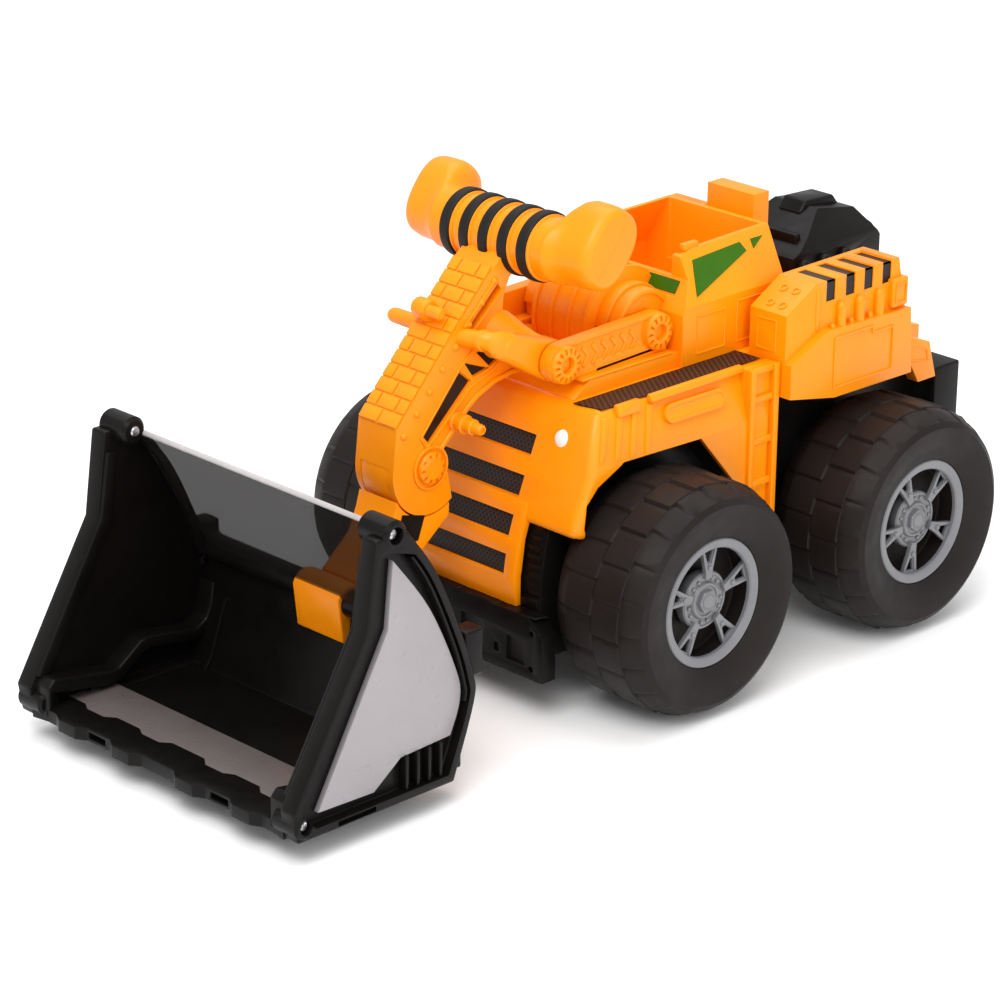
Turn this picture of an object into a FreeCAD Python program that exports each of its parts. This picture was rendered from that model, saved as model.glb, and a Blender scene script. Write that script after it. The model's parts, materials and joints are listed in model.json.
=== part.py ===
"""Toy front loader: a push-along wheel loader with a two-handed lever arm and a hooked bucket.

Frame: +X forward (bucket end), +Y to the loader's left, +Z up, in millimetres. The origin is on the
floor, under the middle of the loader's length, on its centre plane.
"""
import FreeCAD, Part
import math
import os
import Sketcher

V = FreeCAD.Vector
doc = FreeCAD.newDocument("toy_front_loader")

# ---------------------------------------------------------------- driving dimensions, in millimetres
DIMENSIONS = {
    # running gear
    "wheelbase": 178,
    "tyre_radius": 67.5,
    "rim_plane": 127,
    "tyre_width": 67,
    "sidewall_bulge": 6.3,
    "tyre_wall": 3.5,
    "rim_radius": 37,
    "rim_ring": 5.9,
    "rim_proud": 0.5,
    "rim_seat": 3.5,
    "dish_depth": 14,
    "hub_radius": 16.6,
    "hub_cap_radius": 9.4,
    "hub_nut_radius": 7.4,
    "axle_radius": 3,
    "spoke_count": 5,
    "rear_wheel_turn": 27,
    # clearances
    "running_gap": 0.08,
    "part_gap": 0.4,
    "swing_gap": 1.0,
    "wheel_gap": 8.3,
    # chassis and bumpers
    "wall": 3,
    "bumper_half": 72,
    "bumper_recess": 2,
    "rear_bumper_half": 74,
    # body
    "body_half": 83,
    "flank_lean": 9,
    "grille_half": 45,
    "slot_half": 37,
    "mesh_thick": 1.2,
    "strip_width": 17,
    "decal": 0.5,
    "headlight_radius": 5,
    "ladder_rail": 4,
    "cab_half": 54,
    "cab_top_half": 37,
    "rear_deck_half": 60,
    "pod_half": 87,
    "skirt_half": 92,
    "engine_half": 30,
    "stud_radius": 4.2,
    "exhaust_radius": 5,
    # lift linkage
    "pivot_radius": 4,
    "link_radius": 11,
    "link_inner": 38,
    "link_outer": 46,
    "pivot_cap_radius": 10.6,
    "pivot_cap_depth": 3.6,
    "drum_radius": 30.5,
    "drum_half": 21,
    "cheek_radius": 20.5,
    "cheek_half": 36,
    "arm_half": 15,
    "tongue_half": 10.7,
    "arm_cheek_radius": 27,
    "tongue_radius": 14,
    "bucket_cap_radius": 7.8,
    "peg_radius": 4.5,
    "peg_half": 42,
    "rivet_radius": 1.9,
    "stub_radius": 3.4,
    # handle
    "grip_radius": 17.5,
    "grip_half": 42,
    "handle_half": 71,
    "ring_count": 5,
    "ring_pitch": 14.8,
    "ring_width": 7.4,
    "ring_depth": 2.2,
    "handle_end_long": 25,
    "handle_end_short": 18,
    # bucket
    "bucket_half": 113,
    "rail_depth": 17,
    "plate_web": 3,
    "sheet": 3,
    "screen": 1.5,
    "tube_radius": 7.5,
    "top_rod_radius": 2.5,
    "clip_half": 18.5,
    "boss_radius": 7,
    "screw_radius": 2.7,
}

sheet = doc.addObject("Spreadsheet::Sheet", "sizes")
for row, (alias, value) in enumerate(DIMENSIONS.items(), 1):
    sheet.set(f"A{row}", alias)
    sheet.set(f"B{row}", str(value))
    sheet.setAlias(f"B{row}", alias)
doc.recompute()

nodes = []


def size(alias):
    """The value of one driving dimension."""
    return float(getattr(sheet, alias))


def term(value):
    """A number or a formula as the text of an expression."""
    return value if isinstance(value, str) else repr(float(value))


def of(formula):
    """A formula with every sheet alias written as sizes.alias."""
    words = formula.replace("(", " ( ").replace(")", " ) ").split()
    return " ".join("sizes." + word if word in DIMENSIONS else word for word in words)


# The side outlines below are drawn in millimetres for this tyre and this wheelbase, forward from the
# front axle and up from the floor. They grow with the tyres, and behind the front axle with the wheelbase.
DRAWN_TYRE = 67.5
DRAWN_WHEELBASE = 178.0
DRAWN_FRONT = 292.0
DRAWN_REAR = 272.0
FRONT_AXLE = of(f"( wheelbase * {DRAWN_REAR / DRAWN_WHEELBASE:.6f} - tyre_radius * {DRAWN_FRONT / DRAWN_TYRE:.6f} ) / 2")
REAR_AXLE = of(f"{FRONT_AXLE} - wheelbase")
HALF_CHASSIS = "rim_plane + sidewall_bulge - tyre_width - wheel_gap"


def fx(forward):
    """A place along the loader, from its drawn distance ahead of the front axle."""
    if forward < 0:
        return of(f"{FRONT_AXLE} + wheelbase * {forward / DRAWN_WHEELBASE:.6f}")
    return of(f"{FRONT_AXLE} + tyre_radius * {forward / DRAWN_TYRE:.6f}")


def fz(up):
    """A height above the floor, from its drawn height."""
    return of(f"tyre_radius * {up / DRAWN_TYRE:.6f}")


def side(*drawn):
    """A side outline, from its drawn points."""
    return [(fx(forward), fz(up)) for forward, up in drawn]


# ---------------------------------------------------------------- building blocks
TURNS = {
    "X": FreeCAD.Rotation(V(1, 1, 1), 120),
    "Y": FreeCAD.Rotation(V(1, 0, 0), 90),
    "Z": FreeCAD.Rotation(),
}
AIMS = {"X": V(1, 0, 0), "Y": V(0, 1, 0), "Z": V(0, 0, 1)}


def outline(sketch, points):
    """A closed outline of straight runs, each corner held by two bound distances."""
    count = len(points)
    for i in range(count):
        sketch.addGeometry(Part.LineSegment(V(i, i * i, 0), V(i + 1, i, 0)))
    for i in range(count):
        sketch.addConstraint(Sketcher.Constraint("Coincident", i, 2, (i + 1) % count, 1))
    for i, (across, up) in enumerate(points):
        for kind, value in (("DistanceX", across), ("DistanceY", up)):
            number = sketch.addConstraint(Sketcher.Constraint(kind, -1, 1, i, 1, 1.0))
            sketch.setExpression(f"Constraints[{number}]", term(value))


def prism(name, along, points, low, high):
    """A straight-sided solid: an outline drawn across one axis and pushed along it."""
    sketch = doc.addObject("Sketcher::SketchObject", name + "_outline")
    sketch.Placement = FreeCAD.Placement(V(), TURNS[along])
    sketch.setExpression("Placement.Base." + along.lower(), term(low))
    outline(sketch, points)
    solid = doc.addObject("Part::Extrusion", name)
    solid.Base = sketch
    solid.DirMode = "Custom"
    solid.Dir = AIMS[along]
    solid.Solid = True
    solid.setExpression("LengthFwd", f"({term(high)}) - ({term(low)})")
    return solid


def box(name, x, y, z):
    """A box between two places along each axis."""
    solid = doc.addObject("Part::Box", name)
    for length, letter, (low, high) in (("Length", "x", x), ("Width", "y", y), ("Height", "z", z)):
        solid.setExpression(length, f"({term(high)}) - ({term(low)})")
        solid.setExpression("Placement.Base." + letter, term(low))
    return solid


def rod(name, along, place, radius, low, high, radius_high=None):
    """A round bar along an axis; place is its two other coordinates, and it may taper."""
    kind = "Part::Cylinder" if radius_high is None else "Part::Cone"
    solid = doc.addObject(kind, name)
    turn = {"X": FreeCAD.Rotation(V(0, 1, 0), 90), "Y": FreeCAD.Rotation(V(1, 0, 0), -90),
            "Z": FreeCAD.Rotation()}
    solid.Placement = FreeCAD.Placement(V(), turn[along])
    if radius_high is None:
        solid.setExpression("Radius", term(radius))
    else:
        solid.setExpression("Radius1", term(radius))
        solid.setExpression("Radius2", term(radius_high))
    solid.setExpression("Height", f"({term(high)}) - ({term(low)})")
    others = [letter for letter in "xyz" if letter != along.lower()]
    for letter, value in zip(others, place):
        solid.setExpression("Placement.Base." + letter, term(value))
    solid.setExpression("Placement.Base." + along.lower(), term(low))
    return solid


def fuse(name, *shapes):
    joined = doc.addObject("Part::MultiFuse", name)
    joined.Shapes = list(shapes)
    joined.Refine = True
    return joined


def cut(name, base, *tools):
    tool = tools[0] if len(tools) == 1 else fuse(name + "_tools", *tools)
    cutting = doc.addObject("Part::Cut", name)
    cutting.Base = base
    cutting.Tool = tool
    cutting.Refine = True
    return cutting


def common(name, *shapes):
    shared = doc.addObject("Part::MultiCommon", name)
    shared.Shapes = list(shapes)
    return shared


def group(name, *shapes):
    """Separate solids that share one node."""
    gathered = doc.addObject("Part::Compound", name)
    gathered.Links = list(shapes)
    return gathered


def mirrored(name, source):
    """The same shape on the other side of the centre plane."""
    twin = doc.addObject("Part::Mirroring", name)
    twin.Source = source
    twin.Normal = V(0, 1, 0)
    return twin


def both_sides(name, source):
    return group(name, source, mirrored(name + "_right", source))


def keep(label, solid):
    """Name a finished sub-part and mark it for export."""
    solid.Label = label
    nodes.append(solid)
    return solid


def origin_plane(body, role):
    return [item for item in body.Origin.OriginFeatures if item.Role == role][0]


def turned(name, points):
    """A body turned about its own Y axis; each point is a radius and a distance along Y."""
    body = doc.addObject("PartDesign::Body", name)
    sketch = body.newObject("Sketcher::SketchObject", name + "_profile")
    sketch.AttachmentSupport = [(origin_plane(body, "XY_Plane"), "")]
    sketch.MapMode = "FlatFace"
    outline(sketch, points)
    revolution = body.newObject("PartDesign::Revolution", name + "_turn")
    revolution.Profile = sketch
    revolution.ReferenceAxis = (sketch, ["V_Axis"])
    revolution.Angle = 360
    return body


def put(body, x, y, z):
    for letter, value in (("x", x), ("y", y), ("z", z)):
        body.setExpression("Placement.Base." + letter, term(value))
    return body


# ---------------------------------------------------------------- wheels
def tyre(label, way, axle_x):
    """A hollow moulded tyre and dish, open towards the chassis."""
    def at(offset):
        return of(f"{way} * ( rim_plane + ( {offset} ) )")

    inner = "sidewall_bulge - tyre_width"
    rim = of("rim_radius + part_gap")
    points = [
        (rim, at("0")),
        (of("tyre_radius * 0.67"), at("sidewall_bulge * 0.75")),
        (of("tyre_radius * 0.855"), at("sidewall_bulge")),
        (of("tyre_radius * 0.95"), at("sidewall_bulge * 0.35")),
        (of("tyre_radius * 0.997"), at("0 - sidewall_bulge")),
        (of("tyre_radius"), at("0 - tyre_width * 0.3")),
        (of("tyre_radius"), at("0 - tyre_width * 0.55")),
        (of("tyre_radius * 0.997"), at("sidewall_bulge * 2 - tyre_width")),
        (of("tyre_radius * 0.95"), at("sidewall_bulge * 1.35 - tyre_width")),
        (of("tyre_radius * 0.855"), at(inner)),
        (of("tyre_radius * 0.855 - tyre_wall"), at(inner)),
        (of("tyre_radius * 0.855 - tyre_wall"), at(inner + " + tyre_wall")),
        (of("tyre_radius * 0.95 - tyre_wall"), at("sidewall_bulge * 2 - tyre_width")),
        (of("tyre_radius * 0.95 - tyre_wall"), at("0 - sidewall_bulge")),
        (of("tyre_radius * 0.855 - tyre_wall"), at("sidewall_bulge - tyre_wall")),
        (of("rim_radius + tyre_wall"), at("0 - tyre_wall")),
        (of("rim_radius + tyre_wall"), at("0 - rim_seat - tyre_wall")),
        (of("rim_radius - 1"), at("0 - dish_depth - tyre_wall")),
        (of("hub_cap_radius"), at("0 - dish_depth - tyre_wall")),
        (of("hub_cap_radius"), at("0 - tyre_width * 0.6")),
        (of("axle_radius"), at("0 - tyre_width * 0.6")),
        (of("axle_radius"), at("0 - dish_depth")),
        (of("rim_radius - rim_ring + 1.6"), at("0 - dish_depth")),
        (of("rim_radius - rim_ring + 1.6"), at("0 - rim_seat")),
        (rim, at("0 - rim_seat")),
    ]
    return keep(label, put(turned(label, points), axle_x, 0, of("tyre_radius")))


def tyre_back(name, way, axle_x):
    """The disc that closes a tyre on its inner side, with a sleeve round the axle."""
    def at(offset):
        return of(f"{way} * ( rim_plane + ( {offset} ) )")

    disc = of("tyre_radius * 0.855 - tyre_wall")
    inner = "sidewall_bulge - tyre_width"
    points = [
        (of("axle_radius"), at(inner)),
        (disc, at(inner)),
        (disc, at(inner + " + tyre_wall")),
        (of("hub_cap_radius"), at(inner + " + tyre_wall")),
        (of("hub_cap_radius"), at("0 - tyre_width * 0.6 - part_gap")),
        (of("axle_radius"), at("0 - tyre_width * 0.6 - part_gap")),
    ]
    return put(turned(name, points), axle_x, 0, of("tyre_radius"))


def hub_cap(name, way):
    """The raised centre of a wheel: a round boss with a hexagon on it."""
    def at(offset):
        return of(f"{way} * ( rim_plane + ( {offset} ) )")

    ends = sorted((-1, -0.2), reverse=way < 0)
    nut_ends = sorted((-0.3, -0.08), reverse=way < 0)
    boss = rod(name + "_boss", "Y", (0, 0), of("hub_cap_radius"),
               *[at(f"dish_depth * {end}") for end in ends])
    corners = []
    for i in range(6):
        angle = math.radians(60 * i)
        corners.append((of(f"hub_nut_radius * {math.cos(angle):.6f}"),
                        of(f"hub_nut_radius * {math.sin(angle):.6f}")))
    nut = prism(name + "_nut", "Y", corners, *[at(f"dish_depth * {end}") for end in nut_ends])
    return fuse(name + "_cap", boss, nut)


def rim(label, way, axle_x, turn):
    """The silver wheel trim: an outer ring, five spokes and a hub flange, one moulding."""
    def at(offset):
        return of(f"{way} * ( rim_plane + ( {offset} ) )")

    ring_points = [
        (of("rim_radius - rim_ring"), at("0 - rim_seat")),
        (of("rim_radius"), at("0 - rim_seat")),
        (of("rim_radius"), at("0")),
        (of("rim_radius - 1"), at("rim_proud")),
        (of("rim_radius - rim_ring + 0.6"), at("0 - rim_proud")),
    ]
    ring = put(turned(label + "_ring", ring_points), 0, 0, 0)
    hub_points = [
        (of("hub_cap_radius"), at("0 - dish_depth")),
        (of("hub_radius - 1"), at("0 - dish_depth")),
        (of("hub_radius"), at("0 - dish_depth * 0.4")),
        (of("hub_radius - 1.5"), at("0 - dish_depth * 0.3")),
        (of("hub_cap_radius"), at("0 - dish_depth * 0.36")),
    ]
    hub = put(turned(label + "_hub", hub_points), 0, 0, 0)
    low, high = sorted((1, 2), key=lambda n: n * way)
    depths = {1: at("0 - rim_seat - 3"), 2: at("0 - rim_seat + 0.4")}
    spokes = []
    for i in range(int(size("spoke_count"))):
        spoke = prism(f"{label}_spoke_{i}", "Y", [
            (-2.6, of("hub_radius - 3")),
            (2.6, of("hub_radius - 3")),
            (2.2, of("hub_radius + 4")),
            (5.6, of("rim_radius - rim_ring + 0.8")),
            (-5.6, of("rim_radius - rim_ring + 0.8")),
            (-2.2, of("hub_radius + 4")),
        ], depths[low], depths[high])
        ear = doc.addObject("Part::Compound", f"{label}_spoke_{i}_turned")
        ear.Links = [spoke]
        ear.Placement = FreeCAD.Placement(V(), FreeCAD.Rotation(V(0, 1, 0),
                                                                360.0 / size("spoke_count") * i + turn))
        spokes.append(ear)
    trim = fuse(label + "_trim", ring, hub, hub_cap(label, way), *spokes)
    moved = doc.addObject("Part::Compound", label)
    moved.Links = [trim]
    return keep(label, put(moved, axle_x, 0, of("tyre_radius")))


def wheel_set(end, axle_x, turn):
    """One steel axle with a wheel pressed on each end."""
    reach = of("rim_plane - dish_depth")
    keep(end + "_axle", rod(end + "_axle", "Y", (axle_x, of("tyre_radius")), of("axle_radius"),
                            f"-({reach})", reach))
    backs = []
    for hand, way in (("left", 1), ("right", -1)):
        tyre(f"{end}_{hand}_tyre", way, axle_x)
        rim(f"{end}_{hand}_rim", way, axle_x, turn)
        backs.append(tyre_back(f"{end}_{hand}_tyre_back", way, axle_x))
    keep(end + "_tyre_backs", group(end + "_tyre_backs", *backs))


wheel_set("front", FRONT_AXLE, 0)
wheel_set("rear", REAR_AXLE, size("rear_wheel_turn"))


# ---------------------------------------------------------------- chassis
def chassis():
    outer = prism("chassis_outer", "Y", side(
        (65, 30), (65, 60), (63, 66), (63.5, 77), (60, 98), (52.5, 119), (44.5, 138), (36, 158), (34, 165),
        (-90, 165), (-90, 140), (-249, 140), (-249, 45), (-232, 30)), of(f"-( {HALF_CHASSIS} )"),
        of(HALF_CHASSIS))
    inner = prism("chassis_inner", "Y", side(
        (62, 20), (60, 66), (60.5, 77), (57, 98), (49.5, 119), (41.5, 138), (32, 162),
        (-87, 162), (-87, 137), (-246, 137), (-246, 46), (-230, 20)),
        of(f"-( {HALF_CHASSIS} - wall )"), of(f"{HALF_CHASSIS} - wall"))
    bores = []
    for end, axle_x in (("front", FRONT_AXLE), ("rear", REAR_AXLE)):
        bores.append(rod(end + "_axle_bore", "Y", (axle_x, of("tyre_radius")),
                         of("axle_radius + running_gap"),
                         of(f"-( {HALF_CHASSIS} + 1 )"), of(f"{HALF_CHASSIS} + 1")))
    keep("chassis_core", cut("chassis_core", outer, inner, *bores))


def bumpers():
    front_block = box("front_bumper_block", (fx(65), fx(76)), ("-sizes.bumper_half", "sizes.bumper_half"),
                      (fz(23.5), fz(60)))
    recesses = []
    for i, (low, high) in enumerate(((-60, -42), (-28, -8), (8, 28), (42, 60))):
        recesses.append(box(f"bumper_recess_{i}", (of(f"{fx(76)} - bumper_recess"), fx(80)),
                            (low, high), (fz(30), fz(48))))
    treads = []
    for i in range(7):
        middle = f"sizes.bumper_half * {(i - 3) / 3.6:.6f}"
        treads.append(box(f"bumper_tread_{i}", (fx(70.5), fx(75.5)), (middle + " - 8", middle + " + 8"),
                          (fz(60), of(f"{fz(60)} + decal"))))
    notch = box("bumper_notch", (fx(60), fx(69)), (of(f"{HALF_CHASSIS} + wall"), of("bumper_half + 1")),
                (fz(20), fz(70)))
    keep("front_bumper", cut("front_bumper", fuse("bumper_solid", front_block, *treads), *recesses, notch,
                             mirrored("bumper_notch_right", notch)))
    tail = prism("rear_bumper_block", "Y", side((-249, 60), (-249, 131), (-272, 131), (-272, 66), (-266, 60)),
                 "-sizes.rear_bumper_half", "sizes.rear_bumper_half")
    hollow = box("rear_bumper_hollow", (fx(-268), fx(-240)), of_half("rear_bumper_half - wall"),
                 (fz(50), of(f"{fz(131)} - wall")))
    keep("rear_bumper", cut("rear_bumper", tail, hollow))


def of_half(formula):
    """The two ends of a width centred on the centre plane."""
    return (of(f"-( {formula} )"), of(formula))


# ---------------------------------------------------------------- front body
HOOD_FRONT = ((61, 119), (52, 141), (44, 160), (38, 173))
HOOD_INSIDE = ((57.7, 119), (48.6, 141), (40.7, 160), (36, 170))


def headlight(name):
    return rod(name, "X", (of("body_half - flank_lean - 19"), fz(154.5)), of("headlight_radius"), fx(42),
               fx(48))


def hood():
    deck_half = "body_half - flank_lean"
    crown = prism("hood_crown", "Y", side(
        (63.5, 113), *HOOD_FRONT, (-94, 173), (-94, 141), (-35, 142.5), (26, 144), (50, 128), (56.5, 113)),
        *of_half(deck_half))
    crown_inside = prism("hood_crown_inside", "Y", side(
        (60.6, 111), *HOOD_INSIDE, (-99, 170), (-99, 130), (20, 105), (60.6, 105)),
        *of_half(deck_half + " - wall"))
    face = prism("hood_face", "Y", side(
        (69.5, 60), (72, 77), (68.5, 98), *HOOD_FRONT[:2], *reversed(HOOD_INSIDE[:2]), (65.3, 98), (68.8, 77),
        (66.3, 60)), *of_half("grille_half"))
    shell = fuse("hood_solid", cut("hood_crown_shell", crown, crown_inside), face)
    slots = []
    for i, (low, high) in enumerate(((77, 89), (98.5, 110.5), (120, 131.5), (141.5, 153))):
        slots.append(box(f"hood_slot_{i}", (fx(38), fx(80)), of_half("slot_half"), (fz(low), fz(high))))
    lamps = [headlight("left_lamp_seat"), mirrored("right_lamp_seat", headlight("lamp_seat"))]
    keep("hood_shell", cut("hood_shell", shell, *slots, *lamps))
    keep("headlights", both_sides("headlights", headlight("left_headlight")))
    mesh = prism("grille_mesh", "Y", side(
        (67.4, 68), (68.8, 77), (65.3, 98), (57.7, 119), (48.6, 141), (42.3, 156), (40.9, 156), (47.2, 141),
        (56.3, 119), (63.9, 98), (67.4, 77), (66, 68)), *of_half("slot_half + wall"))
    keep("grille_mesh", mesh)
    strip = box("left_deck_strip", (fx(-92), fx(34)), (of(deck_half + " - 1 - strip_width"),
                                                       of(deck_half + " - 1")),
                (fz(173), of(f"{fz(173)} + decal")))
    keep("deck_strips", both_sides("deck_strips", strip))


def fender():
    """The flank outside the deck: leaning above the tyre, upright round the arch."""
    deck_half = of("body_half - flank_lean")
    section = prism("fender_section", "X", [
        (deck_half, fz(173)), (of("body_half"), fz(142)), (of("body_half"), fz(96)),
        (of("body_half - wall"), fz(96)), (of("body_half - wall"), fz(141)), (deck_half, fz(141))], fx(-75),
        fx(66))
    flank = prism("fender_flank", "Y", side(
        (38, 173), (52, 141), (61, 119), (59, 108), (56, 108), (56, 122), (47, 134), (26, 144), (-35, 142.5),
        (-73, 100), (-74, 97), (-74, 173)), deck_half, of("body_half + 1"))
    corner = prism("fender_corner", "Y", side(
        (61, 119), (52, 141), (48.6, 141), (57.7, 119), (55.5, 108), (59, 108)), deck_half,
        of("body_half - wall"))
    pill = box("fender_pill", (fx(-58), fx(-8)), (of("body_half - 6"), of("body_half - 1.5")), (fz(158),
                                                                                                fz(164)))
    ledge = box("fender_ledge", (fx(-74), fx(2)), (deck_half, of("body_half - flank_lean + 3")), (fz(171),
                                                                                                  fz(175)))
    return fuse("left_fender", common("fender_panel", section, flank), corner, pill, ledge, ladder())


def ladder():
    plate = box("ladder_plate", (fx(-96), fx(-74)), (of("body_half - 4"), of("body_half - 1.5")), (fz(84),
                                                                                                   fz(173)))
    root = box("ladder_root", (fx(-93), fx(-78)), (of(HALF_CHASSIS), of("body_half - 4")), (fz(104), fz(138)))
    shelf = box("ladder_shelf", (fx(-94), fx(-74)), (of("body_half - flank_lean"), of("body_half - 4")),
                (fz(169), fz(173)))
    bars = []
    for i, (back, fore) in enumerate(((-96, -92), (-78, -74))):
        bars.append(box(f"ladder_rail_{i}", (fx(back), fx(fore)), (of("body_half - 1.5"),
                                                                   of("body_half + 2.5")),
                        (fz(84), fz(173))))
    for i, up in enumerate((104, 129, 154)):
        bars.append(box(f"ladder_rung_{i}", (fx(-92), fx(-78)), (of("body_half - 1.5"),
                                                                 of("body_half + 1.5")),
                        (fz(up - 2), fz(up + 2))))
    return fuse("left_ladder", plate, root, shelf, *bars)


# ---------------------------------------------------------------- pedestal
PIVOT_A = (-36.5, 195.4)
PIVOT_B = (36.5, 193)
PIVOT_C = (106.5, 142.8)
GRIP = (36, 256)


def at(pivot):
    return (fx(pivot[0]), fz(pivot[1]))


CAB_FRONT = ((-49, 173), (-49, 203), (-60, 220))


def pedestal():
    base = prism("pedestal_base", "Y", side((-49, 173), (-49, 182), (21, 182), (33, 173)),
                 *of_half("cab_half - wall"))
    barrel = fuse("drum_rounds", rod("drum_barrel", "Y", at(PIVOT_A), of("drum_radius"),
                                     *of_half("drum_half")),
                  rod("drum_cheeks", "Y", at(PIVOT_A), of("cheek_radius"), *of_half("cheek_half")))
    room = prism("drum_room", "Y", side(
        (0, 182), (0, 232), (-60, 232), *reversed(CAB_FRONT[1:]), (-49, 182)), *of_half("cheek_half"))
    bore = rod("drum_bore", "Y", at(PIVOT_A), of("pivot_radius + running_gap"), *of_half("cheek_half + 1"))
    rivets = []
    for i in range(7):
        rivets.append(rod(f"base_rivet_{i}", "Z", (fx(-40 + 9.5 * i), of("cab_half - wall - 3.5")),
                          of("rivet_radius"), fz(182), of(f"{fz(182)} + decal")))
    rivets += [mirrored(rivet.Name + "_right", rivet) for rivet in rivets]
    rooms = [rod("drum_room_front", "Y", at(PIVOT_A), of("drum_radius - wall"), of("wall / 2"),
                 of("drum_half - wall")),
             rod("drum_room_boss", "Y", at(PIVOT_A), of("pivot_radius + wall"), 0, of("drum_half"))]
    room_half = cut("drum_hollow", common("drum_hollow_front", rooms[0], prism("drum_hollow_side", "Y", side(
        (0, 179), (0, 232), (-57, 232), (-57, 220), (-46, 203), (-46, 179)), 0, of("drum_half"))), rooms[1])
    keep("pedestal", cut("pedestal", fuse("pedestal_solid", base, common("drum_front", barrel, room),
                                          *rivets), bore,
                         room_half, mirrored("drum_hollow_right", room_half)))


# ---------------------------------------------------------------- cab and rear body
def cab_form(name, inset, grow):
    """The cab's outer form, drawn in by one distance and let out sideways by another."""
    flanks = prism(name + "_section", "X", [
        (of(f"{half} * ( {width} - {inset} + {grow} )"), up) for half, width, up in (
            (-1, "cab_half", fz(173)), (1, "cab_half", fz(173)), (1, "cab_half", fz(207)),
            (1, "cab_top_half", fz(238)), (-1, "cab_top_half", fz(238)), (-1, "cab_half", fz(207)))],
        fx(-140), fx(-40))
    return flanks


def cab():
    outer = common("cab_outer", cab_form("cab", "0", "0"), prism("cab_side", "Y", side(
        *CAB_FRONT, (-60, 232), (-71, 234.5), (-135, 236), (-131, 173)), *of_half("cab_half")))
    inner = common("cab_inner", cab_form("cab_hollow", "wall", "0"), prism("cab_hollow_side", "Y", side(
        (-52, 176), (-52, 203), (-63, 220), (-63, 250), (-131.5, 250), (-128, 176)), *of_half("cab_half")))
    above = box("cab_open_top", (fx(-131.5), fx(-63)), of_half("cab_top_half - wall"), (fz(200), fz(245)))
    windscreen = box("cab_windscreen", (fx(-67), fx(-55)), of_half("cab_top_half - wall"), (fz(220), fz(245)))
    keep("cab_tub", cut("cab_tub", outer, inner, above, windscreen))
    skin = cab_form("cab_skin", "0", "decal")
    panes = fuse("cab_pane_shapes",
                 prism("cab_pane", "Y", side((-62, 211), (-68, 229), (-108, 231), (-111, 226)),
                       *of_half("pod_half")),
                 prism("cab_quarter", "Y", side((-117, 226), (-117, 231), (-127, 231)), *of_half("pod_half")))
    keep("cab_windows", cut("cab_windows", common("cab_pane_skin", skin, panes), cab_form("cab_core", "0",
                                                                                          "0")))


def rear_body():
    outer = prism("rear_body_outer", "Y", side(
        (-94, 140), (-94, 173), (-132, 173), (-132, 185), (-203, 185), (-206, 163), (-249, 155), (-249, 140)),
        *of_half("rear_deck_half"))
    inner = prism("rear_body_inner", "Y", side(
        (-97, 130), (-97, 170), (-134, 170), (-134, 182), (-200.5, 182), (-203, 160), (-246, 152), (-246,
                                                                                                    130)),
        *of_half("rear_deck_half - wall"))
    plinth = prism("engine_plinth", "Y", side((-200, 182), (-200, 185), (-246, 185), (-246, 150), (-210,
                                                                                                   150)),
                   *of_half("engine_half + wall"))
    block = box("rear_block", (fx(-158), fx(-145)), (-18, 18), (fz(185), fz(246)))
    flap = fuse("left_rear_flap",
                prism("flap_root", "Y", side((-206, 163), (-231, 154), (-234, 143), (-210, 143)),
                      of("rear_deck_half"), of("body_half")),
                prism("flap_tip", "Y", side((-210, 150), (-232, 150), (-238, 131), (-222, 131), (-218, 138)),
                      of("rear_bumper_half + 1"), of("body_half")))
    keep("rear_body", fuse("rear_body", cut("rear_body_shell", outer, inner), plinth, block, flap,
                           mirrored("right_rear_flap", flap)))


def pod():
    """A side tank: a tall box above a wider skirt that stands clear of the rear tyre."""
    tank = prism("pod_tank", "Y", side(
        (-98, 172), (-98, 200), (-122, 213.5), (-194, 214.5), (-201, 185), (-201, 172)),
        of("rear_deck_half"), of("pod_half"))
    skirt = prism("pod_skirt", "Y", side(
        (-98, 172), (-128, 185.8), (-201, 184), (-204, 143.8), (-136, 144.5), (-98, 152)),
        of("rear_deck_half"), of("skirt_half"))
    hollow = prism("pod_hollow", "Y", side((-101, 140), (-101, 199), (-123, 210), (-191, 211), (-198, 185),
                                           (-198, 140)),
                   of("rear_deck_half + wall"), of("pod_half - wall"))
    pins = [rod(f"pod_pin_{i}", "Z", (fx(back), of("pod_half + 2.4")), 2.2, fz(184), fz(197))
            for i, back in enumerate((-143, -159, -176))]
    return cut("left_pod", fuse("pod_solid", tank, skirt, *pins), hollow)


def pod_vents():
    stripes = []
    for i, start in enumerate((-131.3, -148.1, -164, -179.9)):
        cap = box(f"vent_top_{i}", (fx(start - 8), fx(start)), (of("rear_deck_half + 3"),
                                                                of("pod_half + decal")),
                  (fz(214.5), of(f"{fz(214.5)} + decal")))
        drop = box(f"vent_side_{i}", (fx(start - 8), fx(start)), (of("pod_half"), of("pod_half + decal")),
                   (fz(201), of(f"{fz(214.5)} + decal")))
        stripes.append(fuse(f"vent_{i}", cap, drop))
    keep("pod_vents", both_sides("pod_vents", group("left_pod_vents", *stripes)))


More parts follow.
